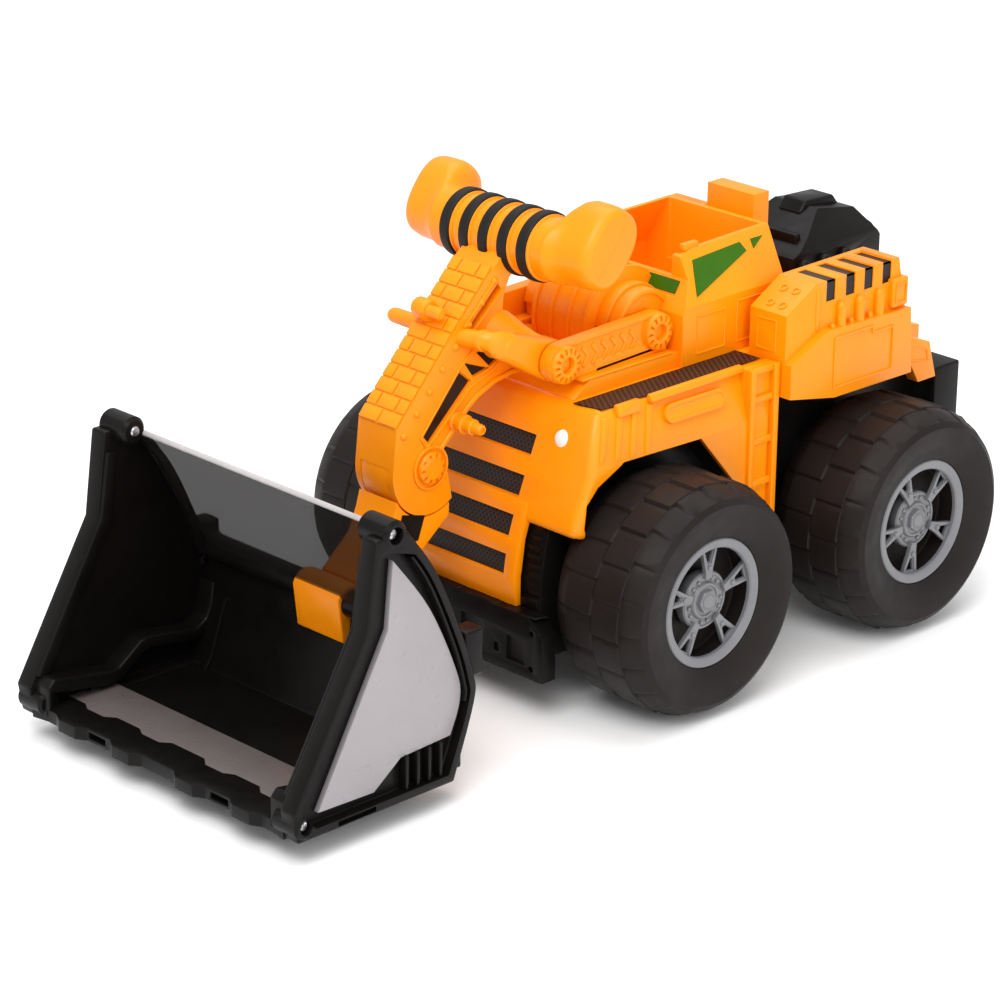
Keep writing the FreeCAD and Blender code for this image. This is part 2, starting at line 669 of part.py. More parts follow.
def engine():
    octagon = prism("engine_octagon", "X", [
        (of("0 - engine_half"), fz(185)), (of("engine_half"), fz(185)), (of("engine_half"), fz(208)),
        (of("engine_half * 0.55"), fz(226)), (of("0 - engine_half * 0.55"), fz(226)),
        (of("0 - engine_half"), fz(208))],
        fx(-245), fx(-165))
    slope = prism("engine_side", "Y", side(
        (-165, 185), (-168, 205), (-185, 214), (-203, 226), (-232, 222), (-245, 205), (-245, 185)),
        *of_half("engine_half"))
    studs = []
    for i, back in enumerate((-175, -193, -211)):
        stud = doc.addObject("Part::Sphere", f"engine_stud_{i}")
        stud.setExpression("Radius", of("stud_radius"))
        studs.append(put(stud, fx(back), of("engine_half + stud_radius * 0.5"), fz(200)))
    studs += [mirrored(stud.Name + "_right", stud) for stud in studs]
    exhaust = rod("exhaust", "X", (0, fz(194)), of("exhaust_radius"), fx(-266), fx(-242))
    hollow = prism("engine_hollow", "Y", side((-169, 184), (-171, 203), (-186, 210), (-204, 221), (-230, 218),
                                              (-241, 204), (-241, 184)), *of_half("engine_half * 0.5"))
    case = cut("engine_case", common("engine_case_solid", octagon, slope), hollow)
    keep("engine_block", fuse("engine_block", case, exhaust, *studs))


# ---------------------------------------------------------------- lift linkage
def pivot_cap(name, pivot, low, radius):
    return rod(name, "Y", at(pivot), of(radius), low, f"{low} + sizes.pivot_cap_depth",
               of(f"{radius} * 0.75"))


def link():
    low = of("link_inner")
    high = of("link_outer")
    ends = [rod("link_end_a", "Y", at(PIVOT_A), of("link_radius"), low, high),
            rod("link_end_b", "Y", at(PIVOT_B), of("link_radius"), low, high)]
    bar = prism("link_bar", "Y", [
        (fx(PIVOT_A[0]), f"{fz(PIVOT_A[1])} - sizes.link_radius"),
        (fx(PIVOT_B[0]), f"{fz(PIVOT_B[1])} - sizes.link_radius"),
        (fx(PIVOT_B[0]), f"{fz(PIVOT_B[1])} + sizes.link_radius"),
        (fx(PIVOT_A[0]), f"{fz(PIVOT_A[1])} + sizes.link_radius")], low, high)
    bore_a = rod("link_bore_a", "Y", at(PIVOT_A), of("pivot_radius"), of("link_inner - 1"),
                 of("link_outer + 1"))
    bore_b = rod("link_bore_b", "Y", at(PIVOT_B), of("pivot_radius + running_gap"), of("link_inner - 1"),
                 of("link_outer + 1"))
    return cut("left_link", fuse("link_solid", *ends, bar), bore_a, bore_b)


def links():
    source = link()
    keep("left_link", source)
    keep("right_link", mirrored("right_link", source))
    keep("rear_pivot_rod", rod("rear_pivot_rod", "Y", at(PIVOT_A), of("pivot_radius"),
                               *of_half("link_outer")))
    keep("rear_pivot_caps", both_sides("rear_pivot_caps", pivot_cap("left_rear_cap", PIVOT_A,
                                                                    of("link_outer"),
                                                                    "pivot_cap_radius")))


# ---------------------------------------------------------------- arm and handle
ARM = ((50, 254), (61.9, 244.3), (85.9, 219.2), (123.9, 178), (131, 170), (133.7, 144), (133.4, 139), (94.5,
                                                                                                       139),
       (93.5, 139), (97.7, 151), (77, 170), (70.9, 174.4), (58.7, 179.7), (46.2, 181.8), (36.5, 182), (28,
                                                                                                       186),
       (25.5, 193), (28, 200.5), (39, 205.7), (51.7, 212.7), (53.1, 220.5), (52.4, 228.4), (48, 238), (36,
                                                                                                       246))


def arm_half():
    """One moulded half of the arm: the bar, the curved rib down to its pivot, and the fork at its foot."""
    profile = prism("arm_profile", "Y", side(*ARM), 0, of("arm_half"))
    foot = common("arm_foot", rod("arm_foot_round", "Y", at(PIVOT_C), of("arm_cheek_radius"), 0,
                                  of("arm_half")),
                  prism("arm_foot_sides", "Y", side((134, 146), (134, 110), (88, 110), (92.9, 135.2), (97.7,
                                                                                                       151)),
                        0, of("arm_half")))
    tube = rod("arm_tube", "Y", at(PIVOT_B), of("link_radius * 1.2"), of("arm_half - 1"),
               of("link_inner - part_gap"),
               of("link_radius"))
    slot = prism("arm_slot", "Y", side((56.4, 236.2), (79.1, 215.9), (75.2, 213.6), (53.8, 233)), -1,
                 of("arm_half + 1"))
    fork = [rod("arm_fork_round", "Y", at(PIVOT_C), of("arm_cheek_radius - 4"), -1,
                of("tongue_half + part_gap")),
            box("arm_fork_mouth", (fx(80), fx(140)), (-1, of("tongue_half + part_gap")), (fz(100), fz(141)))]
    bores = [rod("arm_bore_b", "Y", at(PIVOT_B), of("pivot_radius"), -1, of("link_inner")),
             rod("arm_bore_c", "Y", at(PIVOT_C), of("pivot_radius"), -1, of("arm_half + 1")),
             rod("arm_bore_peg", "Y", at((83, 211)), of("peg_radius"), -1, of("arm_half + 1")),
             rod("arm_grip_seat", "Y", at(GRIP), of("grip_radius"), -1, of("arm_half + 1")),
             rod("arm_ring_seat", "Y", at(GRIP), of("grip_radius + ring_depth"), -1, of("ring_width / 2")),
             rod("arm_ring_seat_outer", "Y", at(GRIP), of("grip_radius + ring_depth"),
                 of("ring_pitch - ring_width / 2"), of("arm_half + 1"))]
    solid = cut("arm_bored", fuse("arm_solid", profile, foot, tube), slot, *fork, *bores)
    rivets = []
    for i in range(8):
        place = (59.5 + 9.53 * i, 238.2 - 10.4 * i)
        rivets.append(rod(f"arm_rivet_{i}", "Y", at(place), of("rivet_radius"), of("arm_half - 1"),
                          of("arm_half + 1")))
    stub = rod("arm_stub", "Y", at((88, 165)), of("stub_radius"), of("arm_half - 1"), of("arm_half + 22"))
    return fuse("arm_left_half", solid, stub, *rivets)


def arm():
    half = arm_half()
    keep("arm_left_half", half)
    keep("arm_right_half", mirrored("arm_right_half", half))
    keep("front_pivot_rod", rod("front_pivot_rod", "Y", at(PIVOT_B), of("pivot_radius"),
                                *of_half("link_outer + part_gap")))
    keep("front_pivot_caps", both_sides("front_pivot_caps", pivot_cap(
        "left_front_cap", PIVOT_B, of("link_outer + part_gap"), "pivot_cap_radius")))
    keep("bucket_pivot_pin", rod("bucket_pivot_pin", "Y", at(PIVOT_C), of("pivot_radius"),
                                 *of_half("arm_half")))
    keep("bucket_pivot_caps", both_sides("bucket_pivot_caps", pivot_cap(
        "left_bucket_cap", PIVOT_C, of("arm_half"), "bucket_cap_radius")))
    keep("peg_rod", rod("peg_rod", "Y", at((83, 211)), of("peg_radius"), *of_half("peg_half")))
    keep("brick_cover", prism("brick_cover", "Y", side(
        (61.9, 244.3), (85.9, 219.2), (123.9, 178), (131, 170), (132.8, 171.2), (125.6, 179.6), (87.6, 220.8),
        (63.4, 246)), *of_half("arm_half - 2")))
    decals = []
    for i, shape in enumerate((((107, 158.5), (110.5, 163), (84, 191), (77.2, 185.2)),
                               ((74.5, 187.5), (80, 195.5), (64.5, 189)),
                               ((62, 190.5), (71, 199.5), (58, 200.5), (53.5, 195)))):
        decals.append(prism(f"arm_decal_{i}", "Y", side(*shape), of("arm_half"), of("arm_half + decal")))
    keep("arm_decals", both_sides("arm_decals", group("left_arm_decals", *decals)))


def handle():
    keep("grip_core", rod("grip_core", "Y", at(GRIP), of("grip_radius"), *of_half("grip_half")))
    rings = []
    for i in range(int(size("ring_count"))):
        step = i - (size("ring_count") - 1) / 2
        low = f"sizes.ring_pitch * {step} - sizes.ring_width / 2"
        high = f"sizes.ring_pitch * {step} + sizes.ring_width / 2"
        band = rod(f"grip_band_{i}", "Y", at(GRIP), of("grip_radius + ring_depth"), low, high)
        hole = rod(f"grip_band_hole_{i}", "Y", at(GRIP), of("grip_radius"), f"{low} - 1", f"{high} + 1")
        rings.append(cut(f"grip_ring_{i}", band, hole))
    keep("grip_rings", group("grip_rings", *rings))
    corners = []
    for i in range(20):
        angle = 2 * math.pi * i / 20
        along, across = math.cos(angle), math.sin(angle)
        corners.append((
            f"{fx(26)} - 0.59 * {along:.5f} * sizes.handle_end_long + 0.81 * {across:.5f} * sizes.handle_end_short",
            f"{fz(261.5)} + 0.81 * {along:.5f} * sizes.handle_end_long + 0.59 * {across:.5f} * sizes.handle_end_short"))
    source = prism("left_handle_end", "Y", corners, of("grip_half"), of("handle_half"))
    keep("left_handle_end", source)
    keep("right_handle_end", mirrored("right_handle_end", source))


# ---------------------------------------------------------------- bucket
PLATE = ((236, 163.5), (242.3, 115.1), (292, 30.7), (289, 14), (212.4, 14), (180.7, 14), (166.2, 56.7),
         (166.4, 69.5),
         (175.7, 97.3), (194, 136.3), (214, 163.5))
PANEL = ((221.6, 148.8), (225, 111.6), (273, 25.4), (234.7, 24.3), (215.9, 38), (180.8, 39.6), (174.2, 57.4),
         (176.5, 74.6), (195.9, 115.3))
TUBE = (167, 82)


def side_plate():
    inner = "bucket_half - rail_depth"
    web_in = "bucket_half - 2 * plate_web"
    plate = prism("plate_rails", "Y", side(*PLATE), of(inner), of("bucket_half"))
    pocket = prism("plate_pocket", "Y", side(*PANEL), of(inner + " - 1"), of(web_in))
    recess = prism("plate_recess", "Y", side(*PANEL), of("bucket_half - plate_web"), of("bucket_half + 1"))
    boss = rod("plate_top_boss", "Y", at((223, 164)), of("boss_radius"), of(inner),
               of("bucket_half + plate_web / 2"))
    foot = rod("plate_low_boss", "Y", at((284.5, 22)), of("boss_radius"), of(inner),
               of("bucket_half + plate_web / 2"))
    tube = rod("plate_tube_seat", "Y", at(TUBE), of("tube_radius"), of(inner + " - 1"), of("bucket_half + 9"))
    return cut("bucket_left_plate", fuse("plate_solid", plate, boss, foot), pocket, recess, tube)


def side_panel():
    return prism("bucket_left_panel", "Y", side(*PANEL), of("bucket_half - plate_web"), of("bucket_half - 1"))


def bucket():
    inner = "bucket_half - rail_depth"
    for source, twin in ((side_plate(), "bucket_right_plate"), (side_panel(), "bucket_right_panel")):
        keep(source.Name, source)
        keep(twin, mirrored(twin, source))
    shell = prism("bucket_shell_sheet", "Y", side(
        (270, 14.5), (183, 14.5), (168, 56), (168, 80), (171, 80), (171, 56.5), (185, 17.5), (270, 17.5)),
        *of_half(inner))
    tube_room = rod("bucket_tube_room", "Y", at(TUBE), of("tube_radius"), *of_half("bucket_half"))
    clip_room = clip_shape("clip_room")
    keep("bucket_shell", cut("bucket_shell", shell, tube_room, clip_room))
    tube = rod("cross_tube_bar", "Y", at(TUBE), of("tube_radius"), *of_half("bucket_half - 2"))
    keep("cross_tube", cut("cross_tube", tube, clip_shape("clip_room_tube"), carrier_shape("carrier_room")))
    screen = prism("smoke_screen_sheet", "Y", side((172.5, 87), (214, 159), (215.6, 158), (174, 86)),
                   *of_half(inner))
    keep("smoke_screen", cut("smoke_screen", screen, rod("screen_tube_room", "Y", at(TUBE), of("tube_radius"),
                                                         *of_half("bucket_half")),
                                                         clip_shape("clip_room_screen"),
                             rod("screen_rod_room", "Y", at((216, 161)), of("top_rod_radius"),
                                 *of_half("bucket_half"))))
    keep("top_rod", rod("top_rod", "Y", at((216, 161)), of("top_rod_radius"), *of_half(inner)))
    keep("lip_plate", box("lip_plate", (fx(238), fx(268)), of_half(inner), (fz(17.5), fz(20))))
    cutting_edge()
    keep("bucket_clip", cut("bucket_clip", clip_shape("clip_blank"), carrier_shape("clip_carrier_room")))
    carrier = cut("bucket_carrier", carrier_shape("carrier_blank"),
                  rod("carrier_bore", "Y", at(PIVOT_C), of("pivot_radius + running_gap"),
                      *of_half("arm_half + 1")))
    keep("bucket_carrier", carrier)
    screws = []
    for i, place in enumerate(((223, 164), (284.5, 22))):
        screws.append(rod(f"bucket_screw_{i}", "Y", at(place), of("screw_radius"),
                          of("bucket_half + plate_web / 2"),
                          of("bucket_half + plate_web / 2 + 1")))
    keep("bucket_screws", both_sides("bucket_screws", group("left_bucket_screws", *screws)))


def clip_shape(name):
    """The bracket that wraps the cross tube and grips the bucket's back."""
    return prism(name, "Y", side((158, 92), (174.5, 92), (174.5, 57), (158, 57)), *of_half("clip_half"))


def carrier_shape(name):
    """The neck that joins the bucket's bracket to the fork at the foot of the arm."""
    neck = prism(name + "_neck", "Y", side(
        (140, 132), (158, 98), (158, 62), (150, 62), (140, 78), (110.5, 97.6), (92, 112), (92, 132)),
        *of_half("arm_half"))
    round_room = rod(name + "_room", "Y", at(PIVOT_C), of("arm_cheek_radius + swing_gap"),
                     *of_half("arm_half + 1"))
    tongue = rod(name + "_tongue", "Y", at(PIVOT_C), of("tongue_radius"), *of_half("tongue_half"))
    stem = prism(name + "_stem", "Y", side((93, 142.8), (120, 142.8), (131, 116), (100, 110)),
                 *of_half("tongue_half"))
    return fuse(name, cut(name + "_outer", neck, round_room), tongue, stem)


def cutting_edge():
    """The wavy strip along the lip, with two slots through it."""
    lobes = [(0, 289), (14, 291), (24, 285), (38, 291.5), (62, 291.5), (72, 285), (82, 291), (96, 291)]
    points = []
    for along, reach in [(-y, x) for y, x in reversed(lobes[1:-1])] + lobes[:-1]:
        points.append((fx(reach), of(f"bucket_half * {along / 113:.5f}")))
    half = of("bucket_half - rail_depth")
    points += [(fx(291), half), (fx(270), half), (fx(270), f"-({half})"), (fx(291), f"-({half})")]
    blade = prism("cutting_blade", "Z", points, fz(13), fz(17.5))
    holes = []
    for i, middle in enumerate((-50, 50)):
        holes.append(box(f"cutting_hole_{i}", (fx(277), fx(282)), (middle - 8, middle + 8), (fz(10), fz(20))))
    keep("cutting_edge", cut("cutting_edge", blade, *holes))


def export():
    """Check every object, then write each named sub-part to its own file."""
    doc.recompute()
    for item in doc.Objects:
        if "Invalid" in item.State or "Error" in item.State:
            raise RuntimeError(f"{item.Name} did not build: {item.State}")
    os.makedirs("parts", exist_ok=True)
    for node in nodes:
        if node.Shape.isNull() or not node.Shape.isValid():
            raise RuntimeError(f"{node.Label} has no valid shape")
        node.Shape.exportStep(f"parts/{node.Label}.step")


chassis()
bumpers()
hood()
for make in (fender, pod):
    left = make()
    keep(left.Name, left)
    keep(left.Name.replace("left", "right"), mirrored(left.Name.replace("left", "right"), left))
pedestal()
cab()
rear_body()
pod_vents()
engine()
links()
arm()
handle()
bucket()
export()
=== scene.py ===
"""Looks of the toy front loader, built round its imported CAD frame.

Lengths are in millimetres in the code and metres in the meshes. X is counted ahead of the front axle.
"""
import bpy
import json
import math
from mathutils import Matrix, Vector

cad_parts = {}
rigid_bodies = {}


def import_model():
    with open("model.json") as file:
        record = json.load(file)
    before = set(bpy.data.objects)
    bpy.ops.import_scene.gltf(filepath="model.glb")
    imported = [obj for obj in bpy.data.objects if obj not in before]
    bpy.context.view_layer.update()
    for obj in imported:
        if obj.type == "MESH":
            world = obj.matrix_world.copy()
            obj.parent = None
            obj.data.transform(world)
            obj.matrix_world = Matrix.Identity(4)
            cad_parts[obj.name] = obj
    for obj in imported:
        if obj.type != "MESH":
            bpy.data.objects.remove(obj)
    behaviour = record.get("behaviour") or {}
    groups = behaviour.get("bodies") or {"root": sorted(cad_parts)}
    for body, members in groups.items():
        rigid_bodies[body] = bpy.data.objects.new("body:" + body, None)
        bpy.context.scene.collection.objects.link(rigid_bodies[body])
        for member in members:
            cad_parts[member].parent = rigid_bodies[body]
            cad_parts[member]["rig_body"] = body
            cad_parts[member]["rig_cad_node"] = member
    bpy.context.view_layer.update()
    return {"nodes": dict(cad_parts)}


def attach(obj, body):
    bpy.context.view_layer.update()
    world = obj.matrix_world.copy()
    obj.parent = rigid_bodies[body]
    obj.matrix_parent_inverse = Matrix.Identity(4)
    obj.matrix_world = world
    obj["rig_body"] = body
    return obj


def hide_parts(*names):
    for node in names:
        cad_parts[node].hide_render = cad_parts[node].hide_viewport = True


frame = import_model()

MM = 0.001
FRONT_AXLE = -10.0
WHEELBASE = 178.0
PIVOT_A = (-36.5, 195.4)
PIVOT_B = (36.5, 193.0)
PIVOT_C = (106.5, 142.8)
GRIP = (36.0, 256.0)
TUBE = (167.0, 82.0)
HUB = (0, 67.5)
PEG = (83, 211)
DECK = 173.0
ARM_HALF = 15.0
RING_PITCH = 14.8
WAVE_PERIOD = 314.0    # millimetres between crests of a wave texture at scale 1
MERGE = 0.00001        # metres under which two vertices are one
SHARPEST = 0.35        # a mitre is never stretched by more than one over this


# ---------------------------------------------------------------- materials
def colour(code):
    """An sRGB hex value as the linear colour that a shader takes."""
    parts = [int(code[i:i + 2], 16) / 255 for i in (0, 2, 4)]
    linear = [part / 12.92 if part <= 0.04045 else ((part + 0.055) / 1.055) ** 2.4 for part in parts]
    return (*linear, 1.0)


def add(tree, kind, settings=None, links=None, stops=()):
    """Add a node, set its sockets and properties, and link its inputs from (node, output) pairs.

    A colour ramp also takes its two stops, each a position and a linear colour.
    """
    node = tree.nodes.new(kind)
    for name, value in (settings or {}).items():
        if name in node.inputs:
            node.inputs[name].default_value = value
        else:
            setattr(node, name, value)
    for name, (source, output) in (links or {}).items():
        tree.links.new(source.outputs[output], node.inputs[name])
    for (position, shade), element in zip(stops, node.color_ramp.elements if stops else ()):
        element.position = position
        element.color = shade
    return node


def blank(name):
    """A new material, its emptied node tree, and the coordinates that its patterns read."""
    material = bpy.data.materials.new(name)
    material.use_nodes = True
    tree = material.node_tree
    tree.nodes.clear()
    return material, tree, add(tree, "ShaderNodeTexCoord")


def moulded(name, base, deep, rough, grain_mm, bump, coat=0.0, soft=0.0, spread=0.06, shine=0.5):
    """Moulded plastic: an even colour, a faint flow mottle and a fine tool texture."""
    material, tree, place = blank(name)
    # The faint mottle is random tone; on the tyre its brown patches are painted reflection of the yellow
    # body.
    flow = add(tree, "ShaderNodeTexNoise", {"Scale": 1000 / 45, "Detail": 3.0, "Roughness": 0.55},
               {"Vector": (place, "Object")})
    tint = add(tree, "ShaderNodeValToRGB", links={"Fac": (flow, "Fac")},
               stops=[(0.3, colour(deep)), (0.7, colour(base))])
    wear = add(tree, "ShaderNodeTexNoise", {"Scale": 1000 / 9, "Detail": 5.0}, {"Vector": (place, "Object")})
    gloss = add(tree, "ShaderNodeMapRange", {"From Min": 0.3, "From Max": 0.7, "To Min": rough - spread,
                                             "To Max": rough + spread}, {"Value": (wear, "Fac")})
    grain = add(tree, "ShaderNodeTexNoise", {"Scale": 1000 / grain_mm, "Detail": 2.0},
                {"Vector": (place, "Object")})
    relief = add(tree, "ShaderNodeBump", {"Strength": bump, "Distance": 0.0004}, {"Height": (grain, "Fac")})
    shader = add(tree, "ShaderNodeBsdfPrincipled", {"IOR": 1.53, "Specular IOR Level": shine,
            "Coat Weight": coat, "Coat Roughness": 0.12, "Subsurface Weight": soft,
            "Subsurface Scale": 0.004}, {"Base Color": (tint, "Color"), "Roughness": (gloss, "Result"),
            "Normal": (relief, "Normal")})
    add(tree, "ShaderNodeOutputMaterial", links={"Surface": (shader, "BSDF")})
    return material


# Injection-moulded ABS, orange-yellow: an even colour with a soft sheen and a very faint tool grain.
YELLOW = moulded("moulded ABS orange-yellow", "FC9300", "FA8C00", 0.36, 0.7, 0.05, coat=0.04, soft=0.05,
                 shine=0.26)
# Injection-moulded black plastic: satin, with a slightly coarser texture that greys its highlights.
BLACK = moulded("moulded ABS satin black", "110E0D", "0C0A09", 0.36, 0.6, 0.10, spread=0.08, shine=0.13)
# Blow-moulded polyethylene tyre: dull black with a soft broad sheen; its brown tint and brownish mottle are
# painted reflection of the yellow body.
TYRE = moulded("blow-moulded polyethylene tyre with painted body reflection", "1E1816", "191412", 0.5, 0.9, 0.12, spread=0.06, shine=0.16)
# Grey moulded wheel trim: satin, with soft highlights along its ring and spokes.
SILVER = moulded("moulded silver-grey trim", "77777A", "6D6D71", 0.36, 0.5, 0.06)
# Soft grip rubber: matt black.
RUBBER = moulded("moulded grip rubber", "171311", "120F0E", 0.6, 0.5, 0.18, shine=0.25)


def printed(name, light, dark, pitch_mm, turns, rough=0.42):
    """Printed label film with fine slanting bars, or a diamond mesh when both directions are drawn."""
    material, tree, place = blank(name)
    height = None
    for turn in turns:
        lie = add(tree, "ShaderNodeMapping", {"Rotation": turn}, {"Vector": (place, "Object")})
        bars = add(tree, "ShaderNodeTexWave", {"Scale": WAVE_PERIOD / pitch_mm, "wave_profile": "SIN"},
                   {"Vector": (lie, "Vector")})
        if height is None:
            height = bars
        else:
            height = add(tree, "ShaderNodeMath", {"operation": "MAXIMUM"}, {0: (height, 0), 1: (bars, "Fac")})
    tint = add(tree, "ShaderNodeValToRGB", links={"Fac": (height, 0)},
               stops=[(0.45, colour(dark)), (0.75, colour(light))])
    relief = add(tree, "ShaderNodeBump", {"Strength": 0.25, "Distance": 0.0003}, {"Height": (height, 0)})
    shader = add(tree, "ShaderNodeBsdfPrincipled", {"IOR": 1.5, "Specular IOR Level": 0.25,
            "Roughness": rough}, {"Base Color": (tint, "Color"), "Normal": (relief, "Normal")})
    add(tree, "ShaderNodeOutputMaterial", links={"Surface": (shader, "BSDF")})
    return material


# Black label film printed with slanting grey bars, about 3 mm apart.
STRIP_PRINT = printed("printed film slanting bars", "332B27", "0F0C0B", 3.0, [(0, 0, math.radians(35))])
# Black label film printed with a diamond mesh, about 2.4 mm apart.
MESH_PRINT = printed("printed film diamond mesh", "332C28", "0E0B0A", 2.4,
                     [(math.radians(40), 0, math.radians(90)), (math.radians(-40), 0, math.radians(90))])
# Plain black film.
BLACK_FILM = moulded("printed film black", "120F0E", "0E0B0B", 0.34, 1.2, 0.03, shine=0.25)
# Green film on the cab's windows, glossy.
GREEN_FILM = moulded("printed film green", "346602", "2E5C01", 0.24, 2.0, 0.02, shine=0.2)
# Silver film on the bucket's sides: flat, cool-white sheen.
SILVER_FILM = moulded("printed film silver", "9C9699", "959093", 0.32, 1.5, 0.03, shine=0.4)
# White printed lamp.
WHITE_FILM = moulded("printed lamp white", "FBF8F3", "F1ECE6", 0.3, 1.0, 0.02)


def metal(name, shade, rough):
    """Plated steel with fine turning lines."""
    material, tree, place = blank(name)
    lines = add(tree, "ShaderNodeTexNoise", {"Scale": 1000 / 0.8, "Detail": 3.0},
                {"Vector": (place, "Object")})
    gloss = add(tree, "ShaderNodeMapRange", {"To Min": rough - 0.08, "To Max": rough + 0.08},
                {"Value": (lines, "Fac")})
    shader = add(tree, "ShaderNodeBsdfPrincipled", {"Base Color": colour(shade), "Metallic": 1.0},
                 {"Roughness": (gloss, "Result")})
    add(tree, "ShaderNodeOutputMaterial", links={"Surface": (shader, "BSDF")})
    return material


# Zinc-plated screws and axles: bright, slightly blurred reflections.
STEEL = metal("zinc-plated steel", "C9CACC", 0.28)


def sheet_plastic(name, shade, rough, clear):
    """Tinted clear sheet: it lets some light through and keeps a glossy face."""
    material, tree, place = blank(name)
    cloud = add(tree, "ShaderNodeTexNoise", {"Scale": 1000 / 18, "Detail": 4.0},
                {"Vector": (place, "Object")})
    gloss = add(tree, "ShaderNodeMapRange", {"To Min": rough - 0.02, "To Max": rough + 0.02},
                {"Value": (cloud, "Fac")})
    shader = add(tree, "ShaderNodeBsdfPrincipled", {"Base Color": colour(shade), "IOR": 1.49,
            "Specular IOR Level": 0.3, "Alpha": clear}, {"Roughness": (gloss, "Result")})
    add(tree, "ShaderNodeOutputMaterial", links={"Surface": (shader, "BSDF")})
    return material


# Smoke-tinted polycarbonate sheet: glossy, and dark enough that only bright things show through it.
SMOKE = sheet_plastic("smoke polycarbonate sheet", "1F1C1B", 0.26, 0.74)
# The polished upper edge of the sheet, which gathers light and looks pale.
EDGE = moulded("polished polycarbonate edge", "B9B4B3", "A8A3A2", 0.24, 1.5, 0.03)
# Frosted grey sheet screwed on the lip: a cloudy, half-matt face.
FROSTED = moulded("frosted grey polycarbonate", "6E6664", "645C5A", 0.3, 1.6, 0.02, spread=0.05, shine=0.3)


# ---------------------------------------------------------------- modelling helpers
def alone(piece):
    """Make a piece the only selected and active one."""
    bpy.ops.object.select_all(action="DESELECT")
    piece.select_set(True)
    bpy.context.view_layer.objects.active = piece


def edit(piece):
    alone(piece)
    bpy.ops.object.mode_set(mode="EDIT")
    bpy.ops.mesh.select_all(action="SELECT")


def leave():
    bpy.ops.object.mode_set(mode="OBJECT")


def drawn(along, across, up, depth=0.0):
    """A drawn point in the frame: side views are drawn as (ahead, up), front views as (left, up)."""
    if along == "Y":
        point = (across + FRONT_AXLE, depth, up)
    elif along == "X":
        point = (depth + FRONT_AXLE, across, up)
    else:
        point = (across + FRONT_AXLE, up, depth)
    return Vector(point) * MM


def prism(name, corners, low, high, along="Y"):
    """A straight-sided block: its outline is laid out, then extruded."""
    bpy.ops.object.select_all(action="DESELECT")
    bpy.ops.mesh.primitive_circle_add(vertices=len(corners), fill_type="NGON")
    piece = bpy.context.object
    piece.name = name
    for vertex, (across, up) in zip(piece.data.vertices, corners):
        vertex.co = drawn(along, across, up, low)
    step = drawn(along, 0, 0, high) - drawn(along, 0, 0, low)
    edit(piece)
    bpy.ops.mesh.extrude_region_move(TRANSFORM_OT_translate={"value": step})
    bpy.ops.mesh.select_all(action="SELECT")
    bpy.ops.mesh.normals_make_consistent(inside=False)
    leave()
    return piece


def block(name, x, y, z):
    return prism(name, [(x[0], z[0]), (x[1], z[0]), (x[1], z[1]), (x[0], z[1])], y[0], y[1])


def turned(name, profile, centre, along="Y", steps=96):
    """A solid of revolution: profile points are (radius, place along the axis); centre is (ahead, up)."""
    bpy.ops.object.select_all(action="DESELECT")
    bpy.ops.mesh.primitive_circle_add(vertices=len(profile), fill_type="NOTHING")
    piece = bpy.context.object
    piece.name = name
    axis = {"X": (1, 0, 0), "Y": (0, 1, 0), "Z": (0, 0, 1)}[along]
    middle = drawn(along, centre[0], centre[1])
    for vertex, (radius, place) in zip(piece.data.vertices, profile):
        vertex.co = drawn(along, centre[0] + radius, centre[1], place)
    edit(piece)
    bpy.ops.mesh.spin(steps=steps, angle=2 * math.pi, center=middle, axis=axis)
    bpy.ops.mesh.select_all(action="SELECT")
    bpy.ops.mesh.remove_doubles(threshold=0.00002)
    bpy.ops.mesh.normals_make_consistent(inside=False)
    leave()
    return piece


def rod(name, centre, radius, low, high, along="Y", edge=0.6, steps=40, radius_high=None):
    """A round bar with eased ends; it may taper."""
    far = radius if radius_high is None else radius_high
    profile = [(0, low), (radius - edge, low), (radius, low + edge), (far, high - edge), (far - edge, high),
               (0, high)]
    if edge <= 0:
        profile = [(0, low), (radius, low), (far, high), (0, high)]
    return turned(name, profile, centre, along, steps)


def apply(piece, modifier):
    alone(piece)
    bpy.ops.object.modifier_apply(modifier=modifier.name)


def bevel(piece, width, segments=2, angle=28):
    modifier = piece.modifiers.new("edge", "BEVEL")
    modifier.width = width * MM
    modifier.segments = segments
    modifier.limit_method = "ANGLE"
    modifier.angle_limit = math.radians(angle)
    modifier.harden_normals = False
    apply(piece, modifier)
    return piece


def boolean(piece, tool, how):
    modifier = piece.modifiers.new("bool", "BOOLEAN")
    modifier.operation = how
    modifier.solver = "EXACT"
    modifier.object = tool
    apply(piece, modifier)
    bpy.data.objects.remove(tool)
    return piece


def minus(piece, *tools):
    for tool in tools:
        boolean(piece, tool, "DIFFERENCE")
    return piece


def plus(piece, *tools):
    for tool in tools:
        boolean(piece, tool, "UNION")
    return piece


def joined(name, *pieces):
    """Gather loose pieces in one mesh."""
    bpy.ops.object.select_all(action="DESELECT")
    for piece in pieces:
        piece.select_set(True)
    bpy.context.view_layer.objects.active = pieces[0]
    bpy.ops.object.join()
    pieces[0].name = name
    return pieces[0]


def copy(piece, name, matrix=None):
    twin = piece.copy()
    twin.data = piece.data.copy()
    twin.name = name
    bpy.context.scene.collection.objects.link(twin)
    if matrix is not None:
        twin.data.transform(matrix)
    return twin


def turn_over(piece):
    """Move a piece to the other side of the centre plane, with its faces outwards again."""
    piece.data.transform(Matrix.Scale(-1, 4, Vector((0, 1, 0))))
    edit(piece)
    bpy.ops.mesh.flip_normals()
    leave()


def mirror(piece, name):
    """The same shape on the other side of the centre plane."""
    twin = copy(piece, name)
    turn_over(twin)
    return twin


def about(middle, turn):
    """A turn or a stretch about a point."""
    return Matrix.Translation(middle) @ turn @ Matrix.Translation(-middle)


def round_about(centre, degrees, along="Y"):
    """A turn about an axis through a drawn centre."""
    return about(drawn(along, *centre), Matrix.Rotation(math.radians(degrees), 4, along))


